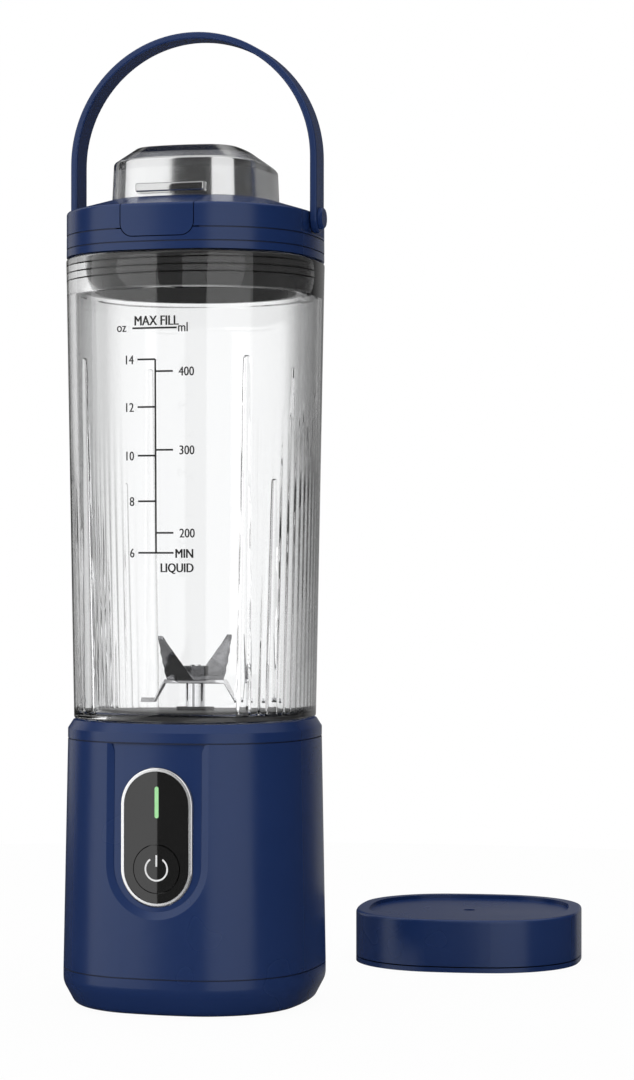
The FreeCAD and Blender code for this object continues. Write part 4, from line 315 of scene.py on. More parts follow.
class JarShape(bpy.types.PropertyGroup):
    foot: FloatProperty(name="Foot", description="Half width at the jar's foot", default=36.2 * MM,
                        unit="LENGTH")
    mouth: FloatProperty(name="Mouth", description="Half width at the jar's rim", default=38.7 * MM,
                         unit="LENGTH")
    wall: FloatProperty(name="Wall", description="Thickness of the jar's sides", default=2.5 * MM,
                        unit="LENGTH")
    rib_foot: FloatProperty(name="Rib foot", description="Radius of a rib at the floor", default=2.2 * MM,
                            unit="LENGTH")
    rib_top: FloatProperty(name="Rib top", description="Radius of a rib at its upper end", default=0.8 * MM,
                           unit="LENGTH")
    flute_deep: FloatProperty(name="Flute depth", description="Depth of the flutes at the floor",
                              default=1.15 * MM, unit="LENGTH")
    flute_wide: FloatProperty(name="Flute width", description="Spacing of the flutes down the jar's sides",
                              default=3.5 * MM, unit="LENGTH")
    segments: IntProperty(name="Segments", description="Steps around the jar", default=640, min=96)


class BladeEdges(bpy.types.PropertyGroup):
    ground: FloatProperty(name="Ground edge", description="Width of the ground bevel", default=1.5 * MM,
                          unit="LENGTH")


class SpringShape(bpy.types.PropertyGroup):
    wire: FloatProperty(name="Wire", description="Radius of the latch spring's wire", default=0.35 * MM,
                        unit="LENGTH")
    turns: IntProperty(name="Turns", description="Turns of the latch spring", default=4, min=1)


class PowerMark(bpy.types.PropertyGroup):
    radius: FloatProperty(name="Radius", description="Of the power symbol's ring", default=3.45 * MM,
                          unit="LENGTH")
    line: FloatProperty(name="Line", description="Width of the symbol's strokes", default=0.5 * MM,
                        unit="LENGTH")


class PrintedScale(bpy.types.PropertyGroup):
    line: FloatProperty(name="Line", description="Width of the printed lines", default=0.55 * MM,
                        unit="LENGTH")
    letter: FloatProperty(name="Letter height", description="Height of the printed capitals",
                          default=2.8 * MM, unit="LENGTH")


class StagePlace(bpy.types.PropertyGroup):
    distance: FloatProperty(name="Camera distance", description="From the blender's axis", default=0.916,
                            unit="LENGTH")
    azimuth: FloatProperty(name="Camera azimuth", description="Around the axis, from the front",
                           default=math.radians(18.4), subtype="ANGLE")
    eye: FloatProperty(name="Eye height", description="Camera above the table", default=0.1399, unit="LENGTH")
    lens: FloatProperty(name="Lens", description="Focal length", default=97.67, unit="CAMERA")
    lamp: FloatProperty(name="Lamp level", description="Radiance that the lamps share out", default=1.0)
    fill: FloatProperty(name="Fill level", description="Even light from all around", default=0.14)


# Operators

class DressShells(bpy.types.Operator):
    """Give the moulded navy shells their satin finish"""
    bl_idname = "blender_part.dress_shells"
    bl_label = "Dress shells"

    def execute(self, context):
        look = context.scene.shell_look
        tint = {"Specular IOR Level": 0.46, "Specular Tint": (0.85, 0.93, 1, 1)}
        shell = grained("navy_satin", tuple(look.colour), look.roughness, **tint)
        dress(shell, "base_housing", "base_bottom_cover", "base_collar", "charge_port_cover", "lid_top",
              "lid_skirt", "lid_lower_ring", "latch_button", "carry_handle", "handle_pins",
              "travel_cap_shell", "travel_cap_ring")
        return {"FINISHED"}


# The jar, in millimetres, and its ribs' turns around a corner's centre, in degrees. Rings are laid up the
# inner wall at WALL_STEPS and, for each rib, at BELOW_RIB_TOP

JAR_LOW = 88.4
JAR_TOP = 230.5
JAR_FLOOR = 90.4
FOOT_ROUND = 0.8
RIM_ROUND = 1.0
FLOOR_ROUND = 1.4
NECK_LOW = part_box("jar")[0][2] / MM
NECK_RADIUS = 33.2
NECK_BORE = 30.6
NECK_ROUND = 0.3
NECK_RIDGES = 3
RIDGE_PITCH = 2.2
RIDGE_SECTION = ((0.05, 0.05), (0.5, 0.22), (0.6, 0.35), (0.6, 0.75), (0.5, 0.88), (0.05, 1.05))
BORE_ROUND = 0.4
MOUTH_RADIUS = 35.9
MOUTH_LOW = 219.3
MOUTH_ROUND = 0.6
RIB_TOP = 199.0
RIB_TURN = 50
SIDE_RIB_TOP = 162.0
SIDE_RIB_TURN = 29
RIB_BLEND = 0.8
BELOW_RIB_TOP = (-0.02, 0.1, 0.3, 0.6, 1, 2, 4)
FLUTE_TOP = 186.0
FLUTE_REACH = 26.0
WALL_STEPS = (219.1, 218.4, 216, 210, 204, 200, 190, 182, 174, 166, 163, 154, 148, 142, 136, 130, 124, 118,
              112, 106, 101, 97, 94, 92.4)


def jar_half_at(height):
    """The jar's outer half width at a height, in millimetres."""
    shape = bpy.context.scene.jar_shape
    return (shape.foot + (shape.mouth - shape.foot) * (height - JAR_LOW) / (JAR_TOP - JAR_LOW)) / MM


def along_wall(angle, half, wall):
    """How far along the wall a point lies from the middle of its side, and which side that is."""
    turned = angle + math.pi / 4
    side = int(turned // (math.pi / 2)) % 4
    local = turned % (math.pi / 2) - math.pi / 4
    x, y = wall * math.cos(local), wall * abs(math.sin(local))
    shift = corner_shift() * half
    bend = math.atan2(shift, shift + (SIDE_RATIO - 1) * half)
    facing = math.atan2(y, x + (SIDE_RATIO - 1) * half)
    if facing < bend:
        return SIDE_RATIO * half * facing, side
    facing = math.atan2(y - shift, x - shift)
    return SIDE_RATIO * half * bend + CORNER_RATIO * half * (facing - bend), side


def inner_wall(height):
    """The reach of the jar's inner wall at a height: ribs in its corners, flutes low down its two sides."""
    shape = bpy.context.scene.jar_shape
    half = jar_half_at(height) - shape.wall / MM
    ribs = []
    for turn, top in ((RIB_TURN, RIB_TOP), (SIDE_RIB_TURN, SIDE_RIB_TOP)):
        share = (height - JAR_FLOOR) / (top - JAR_FLOOR)
        radius = (shape.rib_foot + (shape.rib_top - shape.rib_foot) * share) / MM
        crown = height - (top - radius)
        if crown < radius:
            bend = math.radians(turn)
            ribs.append((half * (corner_shift() + CORNER_RATIO * math.cos(bend)),
                         half * (corner_shift() + CORNER_RATIO * math.sin(bend)),
                         math.sqrt(radius ** 2 - max(crown, 0) ** 2)))
    depth = max(0.0, (FLUTE_TOP - height) / (FLUTE_TOP - JAR_FLOOR)) ** 1.5 * shape.flute_deep / MM
    pitch = shape.flute_wide / MM

    def reach(angle):
        wall = squircle_reach(angle, half)
        if depth > 0:
            along, side = along_wall(angle, half, wall)
            if side in (0, 2) and along < FLUTE_REACH:
                fade = min(1.0, (FLUTE_REACH - along) / pitch)
                wall -= depth * fade * (0.5 + 0.5 * math.cos(2 * math.pi * along / pitch))
        local = math.atan2(abs(math.sin(angle)), abs(math.cos(angle)))
        for x, y, radius in ribs:
            ahead = x * math.cos(local) + y * math.sin(local)
            aside = abs(x * math.sin(local) - y * math.cos(local))
            near = wall + 2 * (aside - radius)
            if aside < radius:
                near = ahead - math.sqrt(radius ** 2 - aside ** 2)
            share = min(max(0.5 + 0.5 * (wall - near) / RIB_BLEND, 0), 1)
            wall = wall * (1 - share) + near * share - RIB_BLEND * share * (1 - share)
        return wall
    return reach


def bowed(half):
    """The reach of a bowed square."""
    return lambda angle: squircle_reach(angle, half)


def circular(radius):
    """The reach of a circle."""
    return lambda angle: radius


def rounded(outline, half, height, radius, angles, steps=4):
    """Rings for a quarter round about a centre at a half width and height, between two angles."""
    rings = []
    for step in range(steps + 1):
        turn = math.radians(angles[0] + (angles[1] - angles[0]) * step / steps)
        rings.append((outline(half + radius * math.cos(turn)), height + radius * math.sin(turn)))
    return rings


def jar_rings():
    """The jar's skin: up the outside, over the rim, down the inside and through the neck."""
    rings = rounded(circular, NECK_RADIUS - NECK_ROUND, NECK_LOW + NECK_ROUND, NECK_ROUND, (-90, 0), 2)
    for index in range(NECK_RIDGES):
        ridge = NECK_LOW + NECK_ROUND + RIDGE_PITCH * index
        rings += [(circular(NECK_RADIUS + out), ridge + up) for out, up in RIDGE_SECTION]
    rings.append((circular(NECK_RADIUS), JAR_LOW))
    rings += rounded(bowed, jar_half_at(JAR_LOW) - FOOT_ROUND, JAR_LOW + FOOT_ROUND, FOOT_ROUND, (-90, 0))
    rings += [(bowed(jar_half_at(height)), height) for height in range(100, 230, 10)]
    rings += rounded(bowed, jar_half_at(JAR_TOP) - RIM_ROUND, JAR_TOP - RIM_ROUND, RIM_ROUND, (0, 90))
    rings += rounded(circular, MOUTH_RADIUS + MOUTH_ROUND, JAR_TOP - MOUTH_ROUND, MOUTH_ROUND, (90, 180), 3)
    rings += [(circular(MOUTH_RADIUS), MOUTH_LOW + 0.4), (circular(MOUTH_RADIUS + 0.1), MOUTH_LOW + 0.1)]
    rib_steps = [top - below for top in (RIB_TOP, SIDE_RIB_TOP) for below in BELOW_RIB_TOP]
    rings += [(inner_wall(height), height) for height in sorted([*WALL_STEPS, *rib_steps], reverse=True)]
    for step in range(1, 5):
        turn = math.radians(90 * step / 4)
        height = JAR_FLOOR + FLOOR_ROUND * (1 - math.sin(turn))
        inward = FLOOR_ROUND * (1 - math.cos(turn))
        wall = inner_wall(height)
        rings.append((lambda angle, wall=wall, inward=inward: wall(angle) - inward, height))
    rings += rounded(circular, NECK_BORE + BORE_ROUND, JAR_FLOOR - BORE_ROUND, BORE_ROUND, (90, 180), 3)
    rings += rounded(circular, NECK_BORE + NECK_ROUND, NECK_LOW + NECK_ROUND, NECK_ROUND, (180, 270), 2)
    return rings


# The seams' shadow strips, in millimetres: each strip's low edge, the shell's half width there, and half the
# width of the opening that the latch button needs

STRIP_SINK = 0.3
STRIP_BACK = 0.9
STRIP_LAP = 0.1
STRIP_RISE = 0.5
LATCH_HALF = 12.6
BASE_SEAMS = ((11.6, 39.25, 0), (82.2, 38.0, 0))
LID_SEAMS = ((233.0, 38.6, 0), (237.1, 38.6, LATCH_HALF))


def seam_strip(low, half, opening):
    """A strip all around, a little inside the shell's face."""
    strip = bmesh.new()
    face, back = bowed(half - STRIP_SINK), bowed(half - STRIP_BACK)
    bottom, top = low - STRIP_LAP, low + STRIP_RISE
    skin(strip, [(face, bottom), (face, top), (back, top), (back, bottom)], segments=240)
    if opening:
        front = [vert for vert in strip.verts if vert.co.y < 0 and abs(vert.co.x) < opening * MM]
        bmesh.ops.delete(strip, geom=front, context="VERTS")
        bmesh.ops.holes_fill(strip, edges=strip.edges)
    return strip


class LaySeams(bpy.types.Operator):
    """Lay the shadow strips at the bottom of the open seams between the shells"""
    bl_idname = "blender_part.lay_seams"
    bl_label = "Lay seams"

    def execute(self, context):
        # Painted shadow: the strips take the shells' navy darkened to 0.45, so the open seams look shaded
        colour = [part * 0.45 for part in context.scene.shell_look.colour]
        shade = grained("painted_seam_shadow", tuple(colour), 0.5)
        for name, body, slot, seams in (("base_seam_shadows", "base", "navy_shell", BASE_SEAMS),
                                        ("lid_seam_shadows", "lid", "navy_lid", LID_SEAMS)):
            bm = bmesh.new()
            for seam in seams:
                absorb(bm, seam_strip(*seam))
            finished(name, bm, shade, body)
        return {"FINISHED"}


class MouldJar(bpy.types.Operator):
    """Mould the clear jar with its ribbed corners, rolled rim and threaded neck"""
    bl_idname = "blender_part.mould_jar"
    bl_label = "Mould jar"

    def execute(self, context):
        bm = bmesh.new()
        skin(bm, jar_rings(), context.scene.jar_shape.segments)
        # The tint falls from 0.98 to 0.06 where a wall is seen along its length. A little of that is the
        # longer path through the plastic; the rest is painted shade for the dark edges of the walls and ribs
        tints = ((0, 0.98), (0.28, 0.93), (0.5, 0.46), (0.8, 0.06))
        plastic = clear("clear_plastic", tints, roughness=0.006, ior=1.49, wave=0.001)
        finished("jar_body", bm, plastic, "vessel", ("jar",))
        return {"FINISHED"}


# The lid's plug and its thread, in millimetres

PLUG_RADIUS = 35.4
PLUG_BORE = 31.8
PLUG_LOW = 220.3
PLUG_STEP = 230.4
PLATE_RADIUS = 33.15
PLATE_BORE = 9.65
PLATE_LOW = 234.6
PLATE_TOP = 237.1
THREAD_LOW = 221.9
THREAD_PITCH = 2.2
THREAD_TURNS = 3
THREAD_STEPS = 144
THREAD_THICK = 1.1
THREAD_ROOT = PLUG_RADIUS - 0.35
THREAD_CREST = PLUG_RADIUS + 0.58
THREAD_FADE = 0.6


def plug_thread():
    """The thread, wound up around the plug, with both its ends sinking into the plug."""
    thread = bmesh.new()
    section = chain(thread, [(THREAD_ROOT, 0, THREAD_LOW), (PLUG_RADIUS, 0, THREAD_LOW),
                             (THREAD_CREST, 0, THREAD_LOW + 0.4), (THREAD_CREST, 0, THREAD_LOW + 0.7),
                             (PLUG_RADIUS, 0, THREAD_LOW + THREAD_THICK),
                             (THREAD_ROOT, 0, THREAD_LOW + THREAD_THICK)])
    face = thread.faces.new([item for item in section if isinstance(item, bmesh.types.BMVert)])
    bmesh.ops.spin(thread, geom=[face, *section], cent=(0, 0, 0), axis=(0, 0, 1),
                   dvec=(0, 0, THREAD_PITCH / THREAD_STEPS * MM), angle=2 * math.pi * THREAD_TURNS,
                   steps=THREAD_STEPS * THREAD_TURNS)
    bmesh.ops.recalc_face_normals(thread, faces=thread.faces)
    high = THREAD_LOW + THREAD_PITCH * THREAD_TURNS + THREAD_THICK
    for vert in thread.verts:
        from_end = min(vert.co.z / MM - THREAD_LOW, high - vert.co.z / MM)
        radius = Vector((vert.co.x, vert.co.y)).length / MM
        inward = (radius - THREAD_ROOT) * max(0.0, 1 - from_end / THREAD_FADE) * 0.95
        vert.co.x -= vert.co.x * inward / radius
        vert.co.y -= vert.co.y * inward / radius
    return thread


class CutPlug(bpy.types.Operator):
    """Turn the lid's plug and wind its thread around it"""
    bl_idname = "blender_part.cut_plug"
    bl_label = "Cut plug"

    def execute(self, context):
        bm = bmesh.new()
        spun(bm, [(PLATE_BORE, PLATE_LOW), (PLUG_BORE, PLATE_LOW), (PLUG_BORE, PLUG_LOW),
                  (PLUG_RADIUS, PLUG_LOW), (PLUG_RADIUS, PLUG_STEP), (PLATE_RADIUS, PLUG_STEP),
                  (PLATE_RADIUS, PLATE_TOP), (PLATE_BORE, PLATE_TOP)], steps=160)
        break_edges(bm, 0.25)
        absorb(bm, plug_thread())
        gloss = grained("plug_black", (0.006, 0.006, 0.006), 0.05, grain=2600, depth=0.0005, IOR=1.08)
        finished("threaded_plug", bm, gloss, "lid", ("lid_plug",), sharp=35)
        return {"FINISHED"}


# The blades, in millimetres: for each station along a wing, how far out it is, its front and back edge, and
# how far it rises

BLADE_THICK = 1.2
GROUND_FROM = 6.7
UPPER_TURN = 63
LOWER_TURN = 8
LOWER_DROP = 5.2
UPPER_WING = ((6.6, -6.0, 6.0, 0), (7.8, -5.9, 4.9, 2.3), (8.4, -5.2, 4.4, 3.4), (9.4, -5.2, 3.6, 5.3),
              (10.0, -4.5, 3.0, 6.4), (11.0, -4.4, 2.1, 8.3), (11.5, -3.7, 1.7, 9.3),
              (13.1, -3.2, -1.0, 12.6))
LOWER_WING = ((5.0, -3.4, 3.4, 0), (9.5, -3.2, 3.2, 0), (12.8, -2.15, 2.15, -LOWER_DROP),
              (17.2, -1.4, 1.4, -LOWER_DROP))


def blade_plate(name, low, wing, ground, turn, tone, replaced):
    """A bent blade: its stations along one wing, mirrored by half a turn to the other."""
    bm = bmesh.new()
    left = [(-out, -back, -front, rise) for out, front, back, rise in reversed(wing)]
    columns = [[bm.verts.new(Vector((out, edge, low + rise)) * MM) for edge in (front, back)]
               for out, front, back, rise in (*left, *wing)]
    faces = [bm.faces.new((near[0], far[0], far[1], near[1])) for near, far in zip(columns, columns[1:])]
    made = bmesh.ops.extrude_face_region(bm, geom=faces)["geom"]
    upper = [item for item in made if isinstance(item, bmesh.types.BMVert)]
    bmesh.ops.translate(bm, vec=(0, 0, BLADE_THICK * MM), verts=upper)
    bm.normal_update()
    for vert in upper:
        x, y = vert.co.x, vert.co.y
        sharpened = y > 0 if x > 0 else y < 0
        if sharpened and abs(x) > GROUND_FROM * MM:
            vert.co.y -= math.copysign(min(ground, abs(y)), y)
    bmesh.ops.recalc_face_normals(bm, faces=bm.faces)
    break_edges(bm, 0.12, 40)
    turned = Matrix.Rotation(math.radians(turn), 3, "Z")
    bmesh.ops.rotate(bm, cent=(0, 0, 0), matrix=turned, verts=bm.verts)
    steel = grained(f"{name}_steel", (tone, tone, tone + 0.01), 0.1, grain=1500, depth=0.006,
                    stretch=(1, 12, 12), Metallic=1.0)
    finished(name, bm, steel, "rotor", replaced, sharp=25)


class GrindBlades(bpy.types.Operator):
    """Bend and grind the two pairs of blades"""
    bl_idname = "blender_part.grind_blades"
    bl_label = "Grind blades"

    def execute(self, context):
        ground = context.scene.blade_edges.ground
        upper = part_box("blade_upper")[0][2] / MM
        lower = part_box("blade_lower")[0][2] / MM + LOWER_DROP
        blade_plate("upper_blades", upper, UPPER_WING, ground, UPPER_TURN, 0.24, ("blade_upper",))
        blade_plate("lower_blades", lower, LOWER_WING, ground * 0.8, LOWER_TURN, 0.55, ("blade_lower",))
        return {"FINISHED"}


# The bar of the flip cap's lip, in millimetres: its middle's place, its size, its bow and its edges

LIP_OUT = 25.9
LIP_HEIGHT = 251.0
LIP_SIZE = (22, 2.6, 2.7)
LIP_BOW = 63
LIP_ROUND = 0.5


class DressFlipCap(bpy.types.Operator):
    """Give the flip cap its smoky plastic with a silvery sheen, and its lip a bar"""
    bl_idname = "blender_part.dress_flip_cap"
    bl_label = "Dress flip cap"

    def execute(self, context):
        tints = ((0, 0.84), (0.3, 0.88), (0.5, 0.97), (0.9, 0.95))
        dress(clear("smoky_plastic", tints, roughness=0.11, ior=1.47, wave=0.004, silver=(0.72, 0.2)),
              "flip_cap")
        bm = bmesh.new()
        bar = bmesh.ops.create_cube(bm, size=1)["verts"]
        bmesh.ops.scale(bm, vec=Vector(LIP_SIZE) * MM, verts=bar)
        bmesh.ops.translate(bm, vec=(0, -LIP_OUT * MM, LIP_HEIGHT * MM), verts=bar)
        for vert in bar:
            vert.co.y += vert.co.x ** 2 / (2 * LIP_BOW * MM)
        bmesh.ops.bevel(bm, geom=bm.edges, offset=LIP_ROUND * MM, offset_type="OFFSET", segments=3,
                        profile=0.5, affect="EDGES", material=-1)
        # Painted shade: the lip's tint is darker than the cap's own plastic and falls to 0.3 where the bar is
        # seen along its faces, which outlines the bar
        tints = ((0, 0.7), (0.4, 0.6), (0.7, 0.4), (1, 0.3))
        plastic = clear("lip_plastic", tints, roughness=0.06, ior=1.47, wave=0.004, silver=(0.85, 0.6))
        finished("flip_lip", bm, plastic, "flip")
        return {"FINISHED"}


class DressControls(bpy.types.Operator):
    """Finish the bezel, the insert, the button and the indicator"""
    bl_idname = "blender_part.dress_controls"
    bl_label = "Dress controls"

    def execute(self, context):
        dress(grained("bezel_plate", (0.93, 0.93, 0.94), 0.1, grain=6000, depth=0.0002, Metallic=0.85),
              "control_bezel")
        dress(grained("gloss_black", (0.012, 0.012, 0.012), 0.008, grain=60, depth=0.0001, IOR=1.6),
              "control_panel", "power_button")
        pipe, tree, shader = new_material("green_light_pipe")
        glow = blend_colours(tree, noise(tree, 400.0), (0.25, 0.52, 0.24), (0.30, 0.60, 0.29))
        tree.links.new(glow, shader.inputs["Base Color"])
        tree.links.new(glow, shader.inputs["Emission Color"])
        shader.inputs["Emission Strength"].default_value = 0.4
        shader.inputs["Roughness"].default_value = 0.3
        dress(pipe, "indicator_light")
        return {"FINISHED"}


# The power symbol: how deep it is inked in millimetres, half its ring's gap in degrees, and its bar's middle
# above the ring's centre per ring radius

MARK_DEEP = 0.05
MARK_GAP = 34
BAR_RISE = 0.72


class MarkPower(bpy.types.Operator):
    """Print the power symbol on its button"""
    bl_idname = "blender_part.mark_power"
    bl_label = "Mark power"

    def execute(self, context):
        mark = context.scene.power_mark
        low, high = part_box("power_button")
        front = low[1]
        centre = (low[2] + high[2]) / 2
        deep = MARK_DEEP * MM
        half = mark.line / 2
        gap = math.radians(MARK_GAP)
        bm = bmesh.new()
        ring = [bm.verts.new((0, front + y, centre + mark.radius + z))
                for y, z in ((-deep, -half), (-deep, half), (deep, half), (deep, -half))]
        face = bm.faces.new(ring)
        bmesh.ops.rotate(bm, cent=(0, front, centre), matrix=Matrix.Rotation(gap, 3, "Y"), verts=ring)
        bmesh.ops.spin(bm, geom=[face], cent=(0, front, centre), axis=(0, 1, 0), dvec=(0, 0, 0),
                       angle=2 * math.pi - 2 * gap, steps=48)
        bar = bmesh.ops.create_cube(bm, size=1)["verts"]
        bmesh.ops.scale(bm, vec=(mark.line, 2 * deep, mark.radius), verts=bar)
        bmesh.ops.translate(bm, vec=(0, front, centre + mark.radius * BAR_RISE), verts=bar)
        bmesh.ops.recalc_face_normals(bm, faces=bm.faces)
        white = grained("white_ink", (0.82, 0.82, 0.82), 0.4, grain=3000, depth=0.004)
        finished("power_symbol", bm, white, "button")
        return {"FINISHED"}


# Steps in each turn of the latch's spring

SPRING_STEPS = 28


class WindSpring(bpy.types.Operator):
    """Wind the latch's spring"""
    bl_idname = "blender_part.wind_spring"
    bl_label = "Wind spring"

    def execute(self, context):
        spring = context.scene.spring_shape
        low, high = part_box("latch_spring")
        height = (low[2] + high[2]) / 2
        radius = (high[0] - low[0]) / 2 - spring.wire
        length = high[1] - low[1] - 2 * spring.wire
        steps = SPRING_STEPS * spring.turns
        bm = bmesh.new()
        section = bmesh.ops.create_circle(bm, cap_ends=True, segments=12, radius=spring.wire)["verts"]
        bmesh.ops.translate(bm, vec=(radius, low[1] + spring.wire, height), verts=section)
        bmesh.ops.spin(bm, geom=[*bm.verts, *bm.edges, *bm.faces], cent=(0, 0, height), axis=(0, 1, 0),
                       dvec=(0, length / steps, 0), angle=2 * math.pi * spring.turns, steps=steps)
        bmesh.ops.recalc_face_normals(bm, faces=bm.faces)
        wire = grained("spring_wire", (0.55, 0.55, 0.56), 0.25, grain=4000, Metallic=1.0)
        piece = finished("coiled_spring", bm, wire, "lid", ("latch_spring",))
        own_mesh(piece)
        return {"FINISHED"}


class DressInside(bpy.types.Operator):
    """Finish the blades' nut and shaft, the screws, the seals, the motor, the battery and the boards"""
    bl_idname = "blender_part.dress_inside"
    bl_label = "Dress inside"

    def execute(self, context):
        dress(grained("blued_steel", (0.08, 0.08, 0.085), 0.2, grain=1500, Metallic=1.0), "blade_nut")
        dress(grained("polished_steel", (0.62, 0.62, 0.63), 0.07, grain=800, depth=0.002, Metallic=1.0),
              "blade_shaft")
        bright = grained("screw_steel", (0.60, 0.60, 0.60), 0.3, grain=4000, Metallic=1.0)
        dress(bright, "base_screws", "deck_screws", "motor_screws", "mount_screws", "motor_shaft",
              "flip_hinge_pin", "usb_socket", "motor_can", "motor_bushing_upper", "motor_bushing_lower",
              "shaft_bearing")
        matte = grained("matte_black", (0.017, 0.017, 0.018), 0.5, grain=3000, depth=0.03)
        dress(matte, "base_deck", "spout", "battery_holder", "motor_end_cap", "motor_mount",
              "tact_switch", "travel_cap_liner")
        rubber = grained("grey_rubber", (0.045, 0.046, 0.048), 0.7, grain=1800, depth=0.05)
        dress(rubber, "foot_pad", "jar_seal", "shaft_seal", "lid_gasket", "travel_cap_seal", "spout_stopper")
        dress(grained("copper", (0.72, 0.32, 0.16), 0.35, grain=2200, depth=0.05, stretch=(1, 1, 6),
                      Metallic=1.0), "armature", "commutator")
        dress(grained("magnet_grey", (0.09, 0.09, 0.10), 0.55), "motor_magnets")
        dress(grained("solder_mask", (0.01, 0.10, 0.04), 0.35, grain=700, depth=0.03), "control_board",
              "charge_board")
        dress(grained("cell_wrap", (0.05, 0.22, 0.30), 0.35), "battery_cells")
        return {"FINISHED"}


def on_jar_front(mesh, proud):
    """Wrap a flat mesh, drawn in x and y with its thickness along z, onto the jar's front face."""
    for vert in mesh.vertices:
        x, height, out = vert.co
        half = jar_half_at(height / MM) * MM
        side = SIDE_RATIO * half
        face = math.sqrt(side ** 2 - x ** 2) - (side - half)
        vert.co = Vector((x, -face - out - proud, height))


# The printed scale, in millimetres: places across the front from the middle, and heights

PRINT_PROUD = 0.03
LETTER_THICK = 0.02
LINE_THICK = 0.04
CAPITAL_SHARE = 0.72
LETTER_NARROWING = 0.82
UPRIGHT = -0.3
OUNCE_END = -6.0
OUNCE_NUMBERS = -7.2
MILLILITRE_END = 5.2
MILLILITRE_NUMBERS = 7.0
OUNCES = ((14, 197.7), (12, 183.4), (10, 168.8), (8, 155.1), (6, 139.6))
MILLILITRES = ((400, 194.1), (300, 170.5), (200, 145.6))
SCALE_TOP = OUNCES[0][1]
SCALE_LOW = OUNCES[-1][1]
FULL_LINE = (-7.6, 6.5, 207.1)


def lettering(words, height, x, base, align):
    """Raised lettering as a mesh, drawn flat at its place, which is in millimetres."""
    curve = bpy.data.curves.new("lettering", "FONT")
    curve.body = words
    curve.size = height * MM / CAPITAL_SHARE
    curve.align_x = align
    curve.extrude = LETTER_THICK * MM
    curve.resolution_u = 3
    text = bpy.data.objects.new("lettering", curve)
    bpy.context.scene.collection.objects.link(text)
    bpy.context.view_layer.update()
    mesh = bpy.data.meshes.new_from_object(text)
    bpy.data.objects.remove(text)
    bpy.data.curves.remove(curve)
    mesh.transform(Matrix.Translation((x * MM, base * MM, 0)) @ Matrix.Diagonal((LETTER_NARROWING, 1, 1, 1)))
    return mesh


def print_words(bm, mesh, bold):
    """Add a word twice, a hair apart, so that its strokes are as bold as the printed ones."""
    for step in (-bold, 2 * bold):
        mesh.transform(Matrix.Translation((step, 0, 0)))
        bm.from_mesh(mesh)
    bpy.data.meshes.remove(mesh)


def stroke(bm, x0, y0, x1, y1, cuts):
    """A flat printed bar between two corners, with cuts across it so that it can bend."""
    made = bmesh.ops.create_cube(bm, size=1)["verts"]
    centre = Vector(((x0 + x1) / 2, (y0 + y1) / 2, 0))
    bmesh.ops.scale(bm, vec=(abs(x1 - x0), abs(y1 - y0), LINE_THICK * MM), verts=made)
    bmesh.ops.translate(bm, vec=centre, verts=made)
    along = 1 if abs(y1 - y0) > abs(x1 - x0) else 0
    edges = [edge for edge in bm.edges if edge.verts[0] in made and edge.verts[1] in made
             and abs((edge.verts[0].co - edge.verts[1].co)[along]) > 1e-6]
    bmesh.ops.subdivide_edges(bm, edges=edges, cuts=cuts, use_grid_fill=True)


def level_line(bm, left, right, height, cuts=4):
    """A level printed line between two places, in millimetres."""
    half = bpy.context.scene.printed_scale.line / 2
    stroke(bm, left * MM, height * MM - half, right * MM, height * MM + half, cuts)


class PrintScale(bpy.types.Operator):
    """Print the volume marks on the jar's front"""
    bl_idname = "blender_part.print_scale"
    bl_label = "Print scale"

    def execute(self, context):
        letter = context.scene.printed_scale.letter / MM
        half = context.scene.printed_scale.line / 2
        bm = bmesh.new()
        words = [("MAX FILL", 3.0, 0, 207.9, "CENTER"), ("oz", 2.9, -11.2, 206.1, "CENTER"),
                 ("ml", 2.9, 8.4, 205.9, "CENTER"), ("MIN", letter, 11.4, 138.1, "RIGHT"),
                 ("LIQUID", letter, 11.4, 133.8, "RIGHT")]
        for number, height in OUNCES:
            level_line(bm, OUNCE_END, UPRIGHT, height)
            words.append((str(number), letter, OUNCE_NUMBERS, height - letter / 2, "RIGHT"))
        for number, height in MILLILITRES:
            level_line(bm, UPRIGHT, MILLILITRE_END, height)
            words.append((str(number), letter, MILLILITRE_NUMBERS, height - letter / 2, "LEFT"))
        level_line(bm, UPRIGHT, MILLILITRE_END, SCALE_LOW)
        level_line(bm, *FULL_LINE, 10)
        stroke(bm, UPRIGHT * MM - half, SCALE_LOW * MM, UPRIGHT * MM + half, SCALE_TOP * MM, 12)
        for word in words:
            print_words(bm, lettering(*word), (0.11 if word[0].isupper() else 0.06) * MM)
        mesh = bpy.data.meshes.new("printed_scale")
        bmesh.ops.recalc_face_normals(bm, faces=bm.faces)
        bm.to_mesh(mesh)
        bm.free()
        on_jar_front(mesh, PRINT_PROUD * MM)
        ink = grained("black_ink", (0.01, 0.01, 0.01), 0.45, grain=3000, depth=0.004)
        adopt("printed_scale", mesh, ink, "vessel", sharp=30)
        return {"FINISHED"}


# The camera's aim away from the axis, and its tilt, in degrees

AIM_RIGHT = 2.363
AIM_UP = 0.235
TILT = 0.06

# Each softbox: degrees around from the front (one with none hangs overhead), then distance, height above the
# table, width and tallness in metres, and its share of the lamp level

SOFTBOXES = {"left_softbox": (-47.4, 1.5, 0.7, 1.64, 2.0, 1.2),
             "right_softbox": (39.5, 1.5, 0.7, 1.5, 2.0, 1.08),
             "rim_softbox": (-120, 1.5, 0.72, 0.8, 1.55, 0.5)}
FILL_SOFTBOXES = {"front_softbox": (5, 1.6, 0.6, 1.0, 1.6, 1.2),
                  "overhead_softbox": (None, 0.3, 1.6, 1.6, 1.6, 2.0)}

# The surroundings: how far backwards or upwards a ray goes, from and to, and the brightness there

SEEN_THROUGH = ((0.3, 0.93), (0.6, 1.0))
MIRRORED_BEHIND = ((0.93, 0.99), (0.04, 0.33))
MIRRORED_ABOVE = ((0.5, 0.8), (0.0, 0.9))
FLOOR_RADIUS = 0.5
FLOOR_GLOW = 0.96


